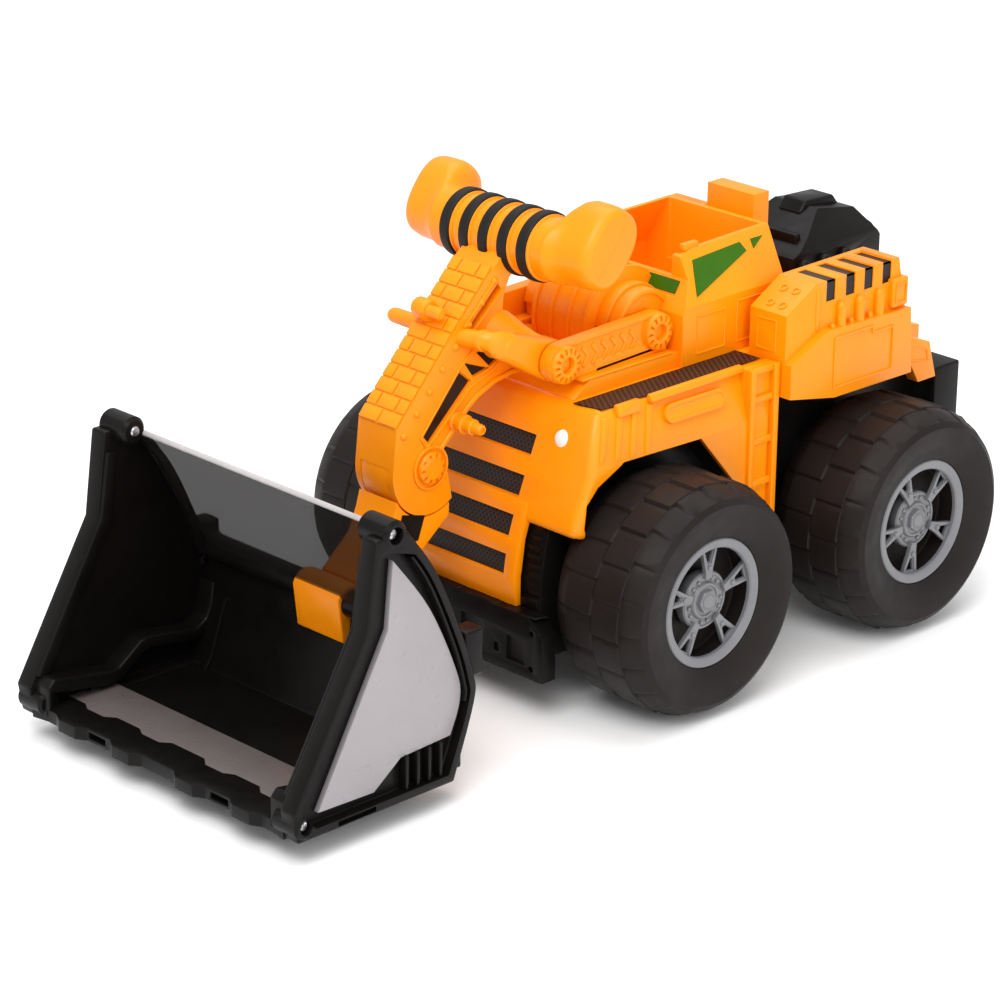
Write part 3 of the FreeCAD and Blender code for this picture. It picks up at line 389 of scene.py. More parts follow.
def softened(node, name, width, segments=2, angle=28):
    """A copy of a CAD node with its loose triangles merged and its edges eased."""
    piece = copy(frame["nodes"][node], name)
    piece.parent = None
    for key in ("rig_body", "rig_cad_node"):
        if key in piece:
            del piece[key]
    edit(piece)
    bpy.ops.mesh.remove_doubles(threshold=MERGE)
    bpy.ops.mesh.dissolve_limited(angle_limit=math.radians(2))
    leave()
    piece.data.materials.clear()
    return bevel(piece, width, segments, angle)


def offset(path, distance, closed=True):
    """A drawn path moved to its left by one distance, with mitred corners."""
    moved = []
    for i, point in enumerate(path):
        ways = []
        if closed or i:
            ways.append((Vector(point) - Vector(path[i - 1])).normalized())
        if closed or i < len(path) - 1:
            ways.append((Vector(path[(i + 1) % len(path)]) - Vector(point)).normalized())
        middle = sum(ways, Vector((0, 0))).normalized()
        aside = Vector((-middle.y, middle.x))
        square = aside.dot(Vector((-ways[0].y, ways[0].x)))
        moved.append(tuple(Vector(point) + aside * distance / max(SHARPEST, square)))
    return moved


def inset(path, distance):
    """A closed drawn outline drawn in by one distance, whichever way round it runs."""
    area = sum(path[i - 1][0] * path[i][1] - path[i][0] * path[i - 1][1] for i in range(len(path)))
    return offset(path, distance if area > 0 else -distance)


def band(name, path, width, low, high, along="Y"):
    """A raised strip of even width along an open path."""
    return prism(name, offset(path, width / 2, False) + offset(path, -width / 2, False)[::-1], low, high,
                 along)


def loop(name, path, width, low, high, along="Y"):
    """A raised border of even width inside a closed outline."""
    hole = prism(name + "_hole", inset(path, width), min(low, high) - 1, max(low, high) + 1, along)
    return minus(prism(name, path, low, high, along), hole)


def arc(centre, radius, start, end, steps):
    """Points on a drawn arc, in degrees."""
    turns = [math.radians(start + (end - start) * i / steps) for i in range(steps + 1)]
    return [(centre[0] + radius * math.cos(turn), centre[1] + radius * math.sin(turn)) for turn in turns]


def eased(points, steps):
    """A smooth path through drawn points."""
    full = [points[0]] + list(points) + [points[-1]]
    path = []
    for i in range(1, len(full) - 2):
        before, start, end, after = (Vector(point) for point in full[i - 1:i + 3])
        for step in range(steps):
            t = step / steps
            bend = 2 * before - 5 * start + 4 * end - after
            twist = 3 * start - before - 3 * end + after
            path.append(tuple(0.5 * (2 * start + (end - before) * t + bend * t ** 2 + twist * t ** 3)))
    return path + [tuple(points[-1])]


def loft(name, rings):
    """A closed skin over rings with equal point counts; each ring is (place to the left, drawn points)."""
    count = len(rings[0][1])
    bpy.ops.object.select_all(action="DESELECT")
    bpy.ops.mesh.primitive_grid_add(x_subdivisions=count, y_subdivisions=len(rings) - 1)
    piece = bpy.context.object
    piece.name = name
    for i, vertex in enumerate(piece.data.vertices):
        place, points = rings[i // (count + 1)]
        vertex.co = drawn("Y", *points[i % (count + 1) % count], place)
    edit(piece)
    bpy.ops.mesh.remove_doubles(threshold=MERGE)
    bpy.ops.mesh.select_all(action="SELECT")
    bpy.ops.mesh.fill_holes(sides=0)
    bpy.ops.mesh.select_all(action="SELECT")
    bpy.ops.mesh.normals_make_consistent(inside=False)
    leave()
    return piece


def oval(centre, long, short, lean, full=2.0, steps=48):
    """Points of an oval whose long axis leans back by an angle from upright; it squares up as full grows."""
    way = (-math.sin(math.radians(lean)), math.cos(math.radians(lean)))
    turns = [2 * math.pi * i / steps for i in range(steps)]
    points = []
    for turn in turns:
        ahead = math.copysign(abs(math.cos(turn)) ** (2 / full), math.cos(turn)) * long
        aside = math.copysign(abs(math.sin(turn)) ** (2 / full), math.sin(turn)) * short
        points.append((centre[0] + way[0] * ahead + way[1] * aside,
                       centre[1] + way[1] * ahead - way[0] * aside))
    return points


def both(name, *pieces):
    """The left-hand pieces and their mirror images, in one mesh."""
    left = joined(name, *pieces)
    return joined(name, left, mirror(left, name + "_twin"))


def dress(material, *nodes):
    """Give carried-over CAD nodes their real finish."""
    for node in nodes:
        slots = frame["nodes"][node].data.materials
        slots.clear()
        slots.append(material)


def done(piece, body, material, slot, *nodes, smooth=35):
    """Finish a piece: shade it, dress it, and hang it on its body."""
    alone(piece)
    bpy.ops.object.shade_smooth_by_angle(angle=math.radians(smooth))
    piece.data.materials.clear()
    piece.data.materials.append(material)
    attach(piece, body)
    if nodes:
        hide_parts(*nodes)
    return piece


# ---------------------------------------------------------------- wheels
TYRE_PROFILE = ((31.5, 113.2), (32.2, 113.4), (32.6, 123.2), (37.2, 123.4), (37.4, 127.2), (40.5, 128.8),
                (46.5, 131.0), (52.5, 132.6), (57.5, 132.9), (60.8, 131.0), (63.4, 127.2), (65.2, 122.5),
                (65.9, 120.6), (66.2, 118.6), (67.1, 118.2), (67.4, 108.0), (67.4, 99.6), (66.8, 99.2),
                (66.8, 98.4), (67.4, 98.0), (67.4, 88.0), (67.1, 79.4), (66.2, 79.0), (65.6, 76.0),
                (63.4, 71.4), (60.8, 68.2), (57.5, 66.6), (30.0, 66.6), (9.5, 66.6), (9.5, 70.0),
                (55.0, 70.0), (60.0, 80.0), (60.0, 110.0), (38.0, 110.0), (9.5, 110.0), (9.5, 112.6),
                (31.0, 112.6))
BLOCKS = 20


def tread(piece, centre):
    """Cut staggered cross grooves and stepped blocks into a tyre by moving its own vertices."""
    middle = Vector((centre[0] + FRONT_AXLE, 0, centre[1])) * MM
    for vertex in piece.data.vertices:
        spoke = vertex.co - middle
        radius = math.hypot(spoke.x, spoke.z) / MM
        across = abs(vertex.co.y) / MM
        if radius < 62.5 or not 70 < across < 128:
            continue
        band = 0 if across < 98.8 else 1 if across < 118.4 else 2
        turn = (math.atan2(spoke.z, spoke.x) / (2 * math.pi) * BLOCKS + (0, 0.45, 0.2)[band]) % 1.0
        sink = 1.7 if turn < 0.09 else 1.0 * turn
        if band == 2:
            sink *= 0.8
        spoke *= (radius - sink) / radius
        vertex.co.x = middle.x + spoke.x
        vertex.co.z = middle.z + spoke.z


def spoke(name, turn):
    """One trim spoke: a fan with an open triangle in it, and a bolt at its root."""
    fan = prism(name, [(-2.2, 81.0), (2.2, 81.0), (2.9, 86.5), (6.4, 100.2), (-6.4, 100.2), (-2.9, 86.5)],
                121.2, 123.8)
    hole = prism(name + "_hole", [(-1.2, 90.5), (1.2, 90.5), (3.6, 97.8), (-3.6, 97.8)], 119, 126)
    rim = prism(name + "_sunk", [(-1.6, 89.8), (1.6, 89.8), (4.5, 98.6), (-4.5, 98.6)], 123.0, 126)
    minus(fan, hole, rim)
    bolt = rod(name + "_bolt", (0, 87.6), 1.5, 122.5, 125.0, edge=0.4, steps=16)
    ear = joined(name, bevel(fan, 0.35, 2), bolt)
    ear.data.transform(round_about(HUB, turn))
    return ear


def trim():
    """The silver trim of one wheel: ring, spokes, hub flange with paired bolts, boss and hexagon."""
    ring = turned("ring", [(31.3, 123.6), (33.5, 123.6), (36.9, 123.6), (37.0, 126.9), (36.4, 127.5),
            (34.0, 127.2), (32.0, 126.5), (31.3, 125.6)], HUB, steps=96)
    flange = turned("flange", [(0, 113.6), (15.6, 113.6), (16.8, 116.0), (16.8, 120.4), (16.0, 121.4),
            (14.9, 121.4), (14.6, 120.7), (10.9, 120.4), (10.6, 121.4), (9.9, 122.2), (8.8, 122.4),
            (8.2, 121.6), (0, 121.6)], HUB, steps=64)
    nut = prism("nut", [(7.0 * math.cos(math.pi / 3 * i),
            67.5 + 7.0 * math.sin(math.pi / 3 * i)) for i in range(6)], 121.0, 124.3)
    parts = [ring, flange, bevel(nut, 0.7, 3)]
    dimple = turned("dimple", [(0, 123.8), (4.6, 123.8), (4.8, 124.6), (4.2, 124.9), (3.6, 124.4),
            (0, 124.3)], HUB, steps=32)
    parts.append(dimple)
    for i in range(5):
        for side_step in (-11, 11):
            angle = math.radians(72 * i + 54 + side_step)
            centre = (12.8 * math.cos(angle), 67.5 + 12.8 * math.sin(angle))
            parts.append(rod(f"bolt_{i}_{side_step}", centre, 1.15, 120.2, 121.9, edge=0.35, steps=12))
        parts.append(spoke(f"spoke_{i}", 72 * i))
    return joined("trim", *parts)


def wheels():
    tyre = turned("tyre", TYRE_PROFILE, HUB, steps=240)
    tread(tyre, HUB)
    rim = trim()
    for end, body, back, turn in (("front", "front_wheels", 0.0, 0), ("rear", "rear_wheels", -WHEELBASE, 27)):
        place = Matrix.Translation((back * MM, 0, 0)) @ round_about(HUB, turn)
        for hand in ("left", "right"):
            tyre_twin = copy(tyre, f"{end}_{hand}_tread_tyre", place)
            rim_twin = copy(rim, f"{end}_{hand}_wheel_trim", place)
            if hand == "right":
                turn_over(tyre_twin)
                turn_over(rim_twin)
            done(tyre_twin, body, TYRE, "tyre_plastic", f"{end}_{hand}_tyre", smooth=28)
            done(rim_twin, body, SILVER, "silver_plastic", f"{end}_{hand}_rim", smooth=32)
        dress(TYRE, f"{end}_tyre_backs")
        dress(STEEL, f"{end}_axle")
    bpy.data.objects.remove(tyre)
    bpy.data.objects.remove(rim)


# ---------------------------------------------------------------- chassis and bumpers
def chassis():
    core = softened("chassis_core", "chassis_tub", 1.0)
    done(core, "chassis", BLACK, "black_plastic", "chassis_core")
    ribs = []
    for hand in (1, -1):
        for i in range(9):
            low = 67 + 5.3 * i
            lean = 60.5 + (62 - low) * 0.02 - max(0, low - 92) * 0.34
            rib = prism(f"cheek_rib_{hand}_{i}", [(lean - 4, low), (lean + 3.4, low), (lean + 3.0, low + 2.6),
                                                  (lean - 4, low + 2.6)], 46 * hand, (57.2 - 0.25 * i) * hand)
            ribs.append(bevel(rib, 0.5, 2))
        step = prism(f"cheek_step_{hand}", [(52, 60), (66.5, 60), (66.5, 66), (52, 68)], 45.5 * hand,
                     57.8 * hand)
        ribs.append(bevel(step, 0.8, 2))
    done(joined("chassis_cheek_ribs", *ribs), "chassis", BLACK, "black_plastic")
    liners = []
    for hand in (1, -1):
        liner = prism(f"arch_liner_{hand}", [(54, 108), (54, 127), (46, 136), (27, 146), (-36, 145),
                (-72, 104), (-75, 108), (-40, 149), (30, 149), (49, 134), (56, 110)], 58 * hand, 74 * hand)
        liners.append(liner)
    done(joined("wheel_arch_liners", *liners), "chassis", BLACK, "black_plastic")


def bumpers():
    bar = prism("bar", [(65.2, 23.8), (75.6, 23.8), (75.6, 60), (65.2, 60)], -71.6, 71.6)
    for hand in (1, -1):
        corner = prism("corner", [(60 * hand, 61), (60 * hand, 60.4), (71.8 * hand, 51), (73 * hand, 51),
                (73 * hand, 61)], 60, 80, along="X")
        minus(bar, corner)
    for low, high, base, top in ((-58, -44, 31, 45), (-38, -34, 33, 38), (-26, -8, 30, 48), (8, 26, 30, 48),
            (34, 38, 33, 38), (44, 58, 31, 45)):
        minus(bar, block("pocket", (73.8, 78), (low, high), (base, top)))
    for hand in (1, -1):
        for up in (30, 51):
            minus(bar, rod("hole", (63 * hand, up), 1.8, 73, 78, along="X", edge=0, steps=20))
    bevel(bar, 0.9, 3)
    plates = []
    for i in range(9):
        middle = (i - 4) * 15.2
        lean = 2.2 if i % 2 else -2.2
        plate = prism(f"plate_{i}", [(66.6, middle - 6.4), (75.0, middle - 6.4 + lean),
                (75.0, middle + 6.4 + lean), (66.6, middle + 6.4)], 59.8, 60.5, along="Z")
        plates.append(bevel(plate, 0.3, 1))
    done(joined("front_bumper_bar", bar, *plates), "chassis", BLACK, "black_plastic", "front_bumper")
    tail = softened("rear_bumper", "rear_bumper_cover", 2.2, 3)
    done(tail, "chassis", BLACK, "black_plastic", "rear_bumper")


# ---------------------------------------------------------------- front body
def front_body():
    """Deck, sloping nose and flanks in one moulding, with the arches, louvres and hollow cut out of it."""
    shell = prism("shell", [(63.5, 108), (61.4, 119), (52.4, 141), (44.4, 160), (38, 173), (-93.5, 173),
            (-93.5, 97), (-60, 97), (20, 97)], -83, 83)
    for hand in (1, -1):
        wedge = prism("wedge", [(83.2 * hand, 142), (90 * hand, 142), (90 * hand, 180), (74 * hand, 180),
                (74 * hand, 173)], -100, 80, along="X")
        minus(shell, wedge)
        nose_side = prism("nose_side", [(90, 55), (90, 92), (30, 92), (66, 80), (69, 74)], 90, 180, along="Z")
        if hand < 0:
            turn_over(nose_side)
        minus(shell, nose_side)
    bevel(shell, 5.2, 5, 24)
    face = prism("face", [(69.6, 60.2), (71.8, 77), (68.6, 98), (61.6, 119), (56, 119), (63, 98), (66, 77),
            (64, 60.2)], -45, 45)
    plus(shell, face)
    inner = prism("inner", [(66.2, 50), (66.2, 77), (62.6, 98), (54.2, 121), (46.6, 141), (36, 167.6),
            (-90.5, 167.6), (-90.5, 50)], -79.6, 79.6)
    leaning = [prism("lean", [(76 * h, 145), (92 * h, 145), (92 * h, 180), (68 * h, 180), (68 * h, 168)],
                     -100, 80, along="X") for h in (1, -1)]
    minus(inner, *leaning)
    minus(shell, inner)
    arch = prism("arch", [(50, 90), (56.2, 113), (54.6, 126), (46.5, 134.4), (26, 144), (-35, 142.5),
            (-72, 100), (-72, 90)], -95, 95)
    minus(shell, arch)
    for low, high in ((76.8, 89.2), (98.3, 110.6), (119.8, 131.4), (141.4, 152.8)):
        minus(shell, block("louvre", (36, 84), (-37, 37), (low, high)))
    bevel(shell, 0.7, 2, 30)
    done(shell, "chassis", YELLOW, "yellow_plastic", "hood_shell", "left_fender", "right_fender", smooth=30)


def body_trim():
    """Ledges, ribs, raised outlines, lamps, louvre backing and deck strips of the front body."""
    parts = []
    for h in (1, -1):
        ledge = prism(f"ledge_{h}", [(74.2 * h, 171), (78.8 * h, 171), (77.6 * h, 175), (74.8 * h, 175.2)],
                      -73, 1, along="X")
        parts.append(bevel(ledge, 0.8, 2))
        lug = prism(f"lug_{h}", [(73.0 * h, 168), (78.4 * h, 168), (76.8 * h, 174.6), (73.4 * h, 174.6)], 8,
                    26, along="X")
        parts.append(bevel(lug, 1.0, 2))
        for i in range(4):
            ahead = 40 - 11.5 * i
            slat = prism(f"slat_{h}_{i}", [(ahead, 148.5 - 1.2 * i), (ahead + 4.6, 147.5 - 1.2 * i),
                    (ahead - 3.4, 169.5), (ahead - 8.0, 169.5)], 79 * h, 84.6 * h)
            for vertex in slat.data.vertices:
                vertex.co.y -= h * 0.297 * max(0.0, vertex.co.z - 142 * MM)
            parts.append(bevel(slat, 0.9, 2))
        pill = []
        for i in range(24):
            angle = 2 * math.pi * i / 24
            pill.append((-33 + 6.2 * math.cos(angle) + (18 if math.cos(angle) > 0 else -18),
                    161.2 + 5.6 * math.sin(angle)))
        hollow = [(-33 + (x + 33) * 0.93, 161.2 + (z - 161.2) * 0.62) for x, z in pill]
        border = minus(prism(f"pill_{h}", pill, 70 * h, 80.4 * h), prism("pill_hole", hollow, 79.6 * h,
                84 * h))
        tilt = Matrix.Rotation(math.radians(16.2) * h, 4, "X")
        border.data.transform(about(drawn("Y", 0, 161.2, 79 * h), tilt))
        parts.append(bevel(border, 0.5, 2))
    done(joined("flank_details", *parts), "chassis", YELLOW, "yellow_plastic")
    lamps = []
    for h in (1, -1):
        lamp = turned(f"lamp_{h}", [(0, 40), (4.4, 40), (4.4, 46.6), (4.0, 47.6), (2.8, 48.3), (1.4, 48.6),
                (0, 48.7)], (55 * h, 154.5), along="X", steps=32)
        taller = Matrix.Scale(1.22, 4, Vector((0, 0, 1)))
        lamp.data.transform(about(drawn("X", 55 * h, 154.5), taller))
        lamps.append(lamp)
    done(joined("lamp_lenses", *lamps), "chassis", WHITE_FILM, "white_print", "headlights")
    mesh = prism("louvre_backing", [(67.6, 68), (69.0, 77), (66.0, 98), (58.6, 119), (49.6, 141), (43.0, 156),
            (40.9, 156), (47.2, 141), (56.3, 119), (63.9, 98), (67.0, 77), (66, 68)], -38.5, 38.5)
    done(mesh, "chassis", MESH_PRINT, "black_mesh", "grille_mesh", smooth=10)
    strips = []
    for h in (1, -1):
        strips.append(prism(f"strip_{h}", [(37.5, 54.6 * h), (34, 72.6 * h), (-93, 72.6 * h),
                (-93, 54.6 * h)], DECK - 0.1, DECK + 0.4, along="Z"))
    done(joined("deck_strip_films", *strips), "chassis", STRIP_PRINT, "black_print", "deck_strips")


def ladders():
    parts = []
    for h in (1, -1):
        plate = prism(f"plate_{h}", [(-96.5, 82), (-73.5, 82), (-73.5, 173), (-96.5, 173)], 74 * h, 81.2 * h)
        parts.append(bevel(plate, 0.6, 2))
        for back, fore in ((-96.8, -92.6), (-77.4, -73.2)):
            parts.append(bevel(block(f"rail_{h}_{back}", (back, fore), (80 * h, 85.2 * h), (82, 173.2)), 0.8,
                    3))
        for up in (104, 129, 154, 171):
            parts.append(bevel(block(f"rung_{h}_{up}", (-93, -77), (80 * h, 83.8 * h), (up - 2.1, up + 2.1)),
                    0.8, 3))
        parts.append(block(f"root_{h}", (-93, -78), (58 * h, 76 * h), (104, 138)))
    done(joined("side_ladders", *parts), "chassis", YELLOW, "yellow_plastic")


# ---------------------------------------------------------------- bucket
REAR = eased([(180.7, 14), (166.2, 55.5), (166.8, 71), (175.7, 97.3), (194, 136.3), (214, 163.5)], 6)
PLATE = [(236, 163.5), (242.3, 115.1), (292, 30.7), (289, 14), (212.4, 14)] + REAR
WEB = [(226, 155), (232.6, 153), (238.6, 114), (287.2, 31.6), (284, 25.5), (277, 19),
       (184.6, 19)] + offset(REAR, -4.6, False)[4:-3]
PANEL = [(221.6, 148.8), (225, 111.6), (273, 25.4), (234.7, 24.3), (215.9, 38),
         (180.8, 39.6)] + eased([(180.8, 39.6), (174.2, 57.4), (176.5, 74.6), (195.9, 115.3), (221.6, 148.8)],
        5)[3:-1]
GUSSET = ((288, 15), (288, 33), (284, 37), (245, 30.5), (239, 31), (224, 42), (219, 43.6), (184, 38),
          (177, 42), (173.5, 50), (172, 62), (167, 62), (167, 15))


def bucket_sides():
    plate = prism("plate", PLATE, 102, 113)
    top = rod("top_boss", (223, 163.5), 7.9, 92, 114.2, edge=1.8, steps=48)
    low = rod("low_boss", (284.3, 22.2), 7.2, 94, 114.2, edge=1.6, steps=48)
    plus(bevel(plate, 1.4, 3, 40), top, low)
    web = bevel(prism("web", WEB, 106.6, 120), 0.6, 1)
    minus(plate, web, rod("top_socket", (223, 163.5), 4.7, 109.4, 120, edge=0, steps=40),
          rod("low_socket", (284.3, 22.2), 4.2, 109.4, 120, edge=0, steps=40),
          block("drain_slot", (236, 262), (110.2, 120), (15.2, 18.2)))
    bevel(plate, 0.45, 2, 40)
    parts = [plate]
    for ahead in (189, 197, 205, 213):
        parts.append(bevel(block(f"web_rib_{ahead}", (ahead - 1.1, ahead + 1.1), (105, 111.6), (19, 38.5)),
                0.5, 2))
    parts.append(bevel(band("rear_ridge", offset(REAR, -6.6, False)[6:-3], 1.6, 105, 112.2), 0.5, 2))
    parts.append(bevel(band("inner_ledge", offset(REAR, -3.4, False)[14:-1], 5.0, 94, 103), 1.2, 2))
    parts.append(bevel(band("front_ledge", [(232, 152), (237.4, 114.4), (284, 35)], 7.5, 99.5, 103), 1.0, 2))
    gusset = minus(prism("gusset", GUSSET, 90, 104), prism("gusset_pocket",
            [(284, 19), (284, 29), (246, 22.5), (238, 23), (222, 34.5), (217, 36), (187, 31), (176, 33),
             (176, 19)], 80, 99))
    parts.append(bevel(gusset, 1.3, 3))
    done(both("bucket_side_rails", *parts), "bucket", BLACK, "black_plastic", "bucket_left_plate",
         "bucket_right_plate")
    panel = bevel(prism("panel", PANEL, 106.2, 110.0), 0.5, 2)
    done(both("bucket_side_films", panel), "bucket", SILVER_FILM, "silver_print", "bucket_left_panel",
         "bucket_right_panel")
    screws = []
    for name, centre in (("top", (223, 163.5)), ("low", (284.3, 22.2))):
        head = turned(name, [(0, 109.2), (3.3, 109.2), (3.3, 110.4), (2.6, 111.2), (1.2, 111.5), (0, 111.6)],
                      centre, steps=28)
        for wide, tall in ((4.2, 0.9), (0.9, 4.2)):
            minus(head, block("cross", (centre[0] - wide / 2, centre[0] + wide / 2), (110.7, 112),
                              (centre[1] - tall / 2, centre[1] + tall / 2)))
        screws.append(bevel(head, 0.15, 1, 50))
    screws.append(rod("rod_nut", (223, 163.5), 2.9, 91, 93, edge=0.6, steps=24))
    done(both("bucket_cross_screws", *screws), "bucket", STEEL, "steel", "bucket_screws")


EDGE_STATIONS = ((0, 287.2, 266), (13, 287.2, 266), (19, 291.4, 270.5), (33, 291.4, 270.5), (39, 287.6, 267),
                 (58, 287.6, 267), (64, 291.4, 271.5), (78, 291.4, 271.5), (84, 288, 268), (92, 288, 268),
                 (102.5, 290, 268))


def bucket_pan():
    shell = bevel(prism("pan", [(272, 14.3), (183, 14.3), (166.4, 56), (163.5, 76), (167.2, 76), (170, 56.8),
            (185, 17.5), (272, 17.5)], -103, 103), 1.0, 2)
    ribs = []
    for across in (-80, 80):
        ribs.append(bevel(prism(f"pan_rib_{across}", [(170, 16), (189, 17), (184, 24), (173.4, 54),
                (169, 57)], across - 1.5, across + 1.5), 0.5, 2))
    done(joined("bucket_back_and_floor", shell, *ribs), "bucket", BLACK, "black_plastic", "bucket_shell")
    outline = [(reach, across) for across, reach, root in EDGE_STATIONS]
    outline = [(reach, -across) for reach, across in outline[::-1]] + outline[1:]
    roots = [(root, across) for across, reach, root in EDGE_STATIONS]
    roots = [(root, -across) for root, across in roots[::-1]] + roots[1:]
    blade = prism("blade", outline + roots[::-1], 13.2, 20.6, along="Z")
    for across in (-50, 50):
        minus(blade, block("window", (283, 300), (across - 7, across + 7), (15.0, 18.6)))
    bevel(blade, 1.3, 3, 22)
    done(blade, "bucket", BLACK, "black_plastic", "cutting_edge", smooth=30)
    lip = bevel(block("frosted_lip_sheet", (238, 272), (-101, 101), (17.4, 20.0)), 0.5, 2)
    done(lip, "bucket", FROSTED, "frosted_plastic", "lip_plate")
    done(rod("screen_upper_edge", (216.2, 161), 1.5, -102, 102, edge=0.3, steps=24), "bucket", EDGE,
         "silver_plastic", "top_rod")
    dress(SMOKE, "smoke_screen")
    collars = [rod("tube_collar", TUBE, 8.4, 95, 103, edge=1.2, steps=48),
               bevel(block("tube_box", (158.8, 172), (99, 111.6), (69, 95)), 1.6, 3)]
    done(both("tube_collars", *collars), "bucket", BLACK, "black_plastic")
    dress(BLACK, "cross_tube")
    wrap = arc(TUBE, 10.2, 196, 20, 12) + [(173.4, 60.2), (170.2, 59), (158, 59), (157.2, 66)]
    clip = bevel(prism("clip", wrap, -18.5, 18.5), 1.1, 3, 40)
    for across in (-6.2, 6.2):
        minus(clip, band("groove", [(177.2, 84), (173.8, 62)], 0.8, across - 0.35, across + 0.35))
    done(clip, "bucket", YELLOW, "yellow_plastic", "bucket_clip")
    carrier = minus(prism("carrier", [(130, 131), (133.4, 119), (139, 106), (158, 90), (158, 62), (150, 62),
            (140, 78), (110.5, 97.6), (92, 112), (92, 132)], -15, 15), rod("foot_room", PIVOT_C, 28, -16, 16,
            edge=0, steps=96))
    bevel(carrier, 2.2, 4)
    apron = rod("apron", PIVOT_C, 26.8, -10.6, 10.6, edge=0, steps=96)
    boolean(apron, prism("apron_room", [PIVOT_C, (146, 151.6), (146, 100), (92, 100)], -20, 20), "INTERSECT")
    carrier = joined("carrier", carrier, bevel(apron, 0.5, 2))
    done(carrier, "bucket", YELLOW, "yellow_plastic", "bucket_carrier")
    film = prism("film", [(127, 120.6), (110.4, 116.2), (115.2, 103.1), (132, 101)], 14.8, 15.3)
    done(both("carrier_films", film), "bucket", BLACK_FILM, "black_print")


# ---------------------------------------------------------------- lift links
def slotted_cap(name, centre, low, radius, slots):
    """A round cap with a hole, ringed by short slots like the spokes of a wheel."""
    scale = radius / 10.6
    cap = turned(name, [(4.4 * scale, low), (radius, low), (radius, low + 1.7), (radius - 0.7, low + 2.7),
                        (radius - 3.0, low + 3.4), (5.6 * scale, low + 3.6), (4.7 * scale, low + 3.3),
                        (4.4 * scale, low + 2.6)], centre, steps=72)
    cuts = []
    for i in range(slots):
        notch = prism(f"notch_{i}", [(centre[0] + 6.4 * scale, centre[1] - 0.55),
                (centre[0] + radius - 1.0, centre[1] - 0.95), (centre[0] + radius - 1.0, centre[1] + 0.95),
                (centre[0] + 6.4 * scale, centre[1] + 0.55)], low + 2.0, low + 6)
        notch.data.transform(round_about(centre, 360 * i / slots))
        cuts.append(notch)
    return minus(cap, joined("notches", *cuts))


def links():
    run = Vector(PIVOT_B) - Vector(PIVOT_A)
    lean = math.degrees(math.atan2(run.y, run.x))
    outline = arc(PIVOT_A, 11, lean + 90, lean + 270, 18) + arc(PIVOT_B, 11, lean - 90, lean + 90, 18)
    bar = minus(prism("bar", outline, 38, 46), prism("sunk", inset(outline, 2.3), 45.1, 50))
    bevel(bar, 0.7, 3, 40)
    parts = [bar]
    unit = run.normalized()
    square = Vector((-unit.y, unit.x))
    for i in range(6):
        middle = Vector(PIVOT_A) + unit * (17.5 + 7.4 * i)
        tips = [middle + square * 5.6 + unit * 3.4, middle - unit * 1.4, middle - square * 5.6 + unit * 3.4]
        parts.append(bevel(band(f"chevron_{i}", [tuple(tip) for tip in tips], 2.6, 44.6, 46.0), 0.5, 2))
    for i, centre in enumerate((PIVOT_A, PIVOT_B)):
        parts.append(rod(f"seat_{i}", centre, 10.9, 44.6, 46.05, edge=0.3, steps=48))
    done(both("lift_links", *parts), "link", YELLOW, "yellow_plastic", "left_link", "right_link")
    done(both("rear_slotted_caps", slotted_cap("cap", PIVOT_A, 46, 10.6, 12)), "link", YELLOW,
         "yellow_plastic", "rear_pivot_caps")
    dress(YELLOW, "rear_pivot_rod")


# ---------------------------------------------------------------- arm
ARM = ((50, 254), (61.9, 244.3), (85.9, 219.2), (123.9, 178), (131, 170), (133.7, 144), (133.4, 139),
       (94.5, 139), (93.5, 139), (97.7, 151), (77, 170), (70.9, 174.4), (58.7, 179.7), (46.2, 181.8),
       (36.5, 182), (28, 186), (25.5, 193), (28, 200.5), (39, 205.7), (51.7, 212.7), (53.1, 220.5),
       (52.4, 228.4), (48, 238), (36, 246))
FILMS = (((107.5, 157.5), (111.2, 162), (84.6, 191.6), (77.2, 185.2)),
         ((74.5, 187.5), (80.4, 195.8), (64.5, 189.6)),
         ((62, 190.5), (71.2, 199.7), (58, 201), (53.5, 195)))
FACE = ((60.6, 245.6), (85.9, 219.2), (123.9, 178), (131, 170))


def bricks():
    """Staggered raised bricks over the front of the arm, with a base under them."""
    parts = [prism("brick_base", list(FACE) + offset(FACE, 0.9, False)[::-1], -14, 14)]
    lengths = [(Vector(FACE[i + 1]) - Vector(FACE[i])).length for i in range(3)]
    pitch = sum(lengths) / 12
    for row in range(12):
        ends = []
        for travel in (pitch * row + 0.35, pitch * (row + 1) - 0.35):
            part = 0
            while part < 2 and travel > lengths[part]:
                travel -= lengths[part]
                part += 1
            ends.append(Vector(FACE[part]).lerp(Vector(FACE[part + 1]), travel / lengths[part]))
        path = [tuple(end) for end in ends]
        columns = ((-14.4, -0.4), (0.4, 14.4)) if row % 2 else ((-14.4, -7.2), (-6.4, 7.0), (7.8, 14.4))
        for low, high in columns:
            body = offset(path, 1.9, False)
            parts.append(bevel(prism(f"brick_{row}_{low}", path + body[::-1], low, high), 0.6, 2, 40))
    return parts


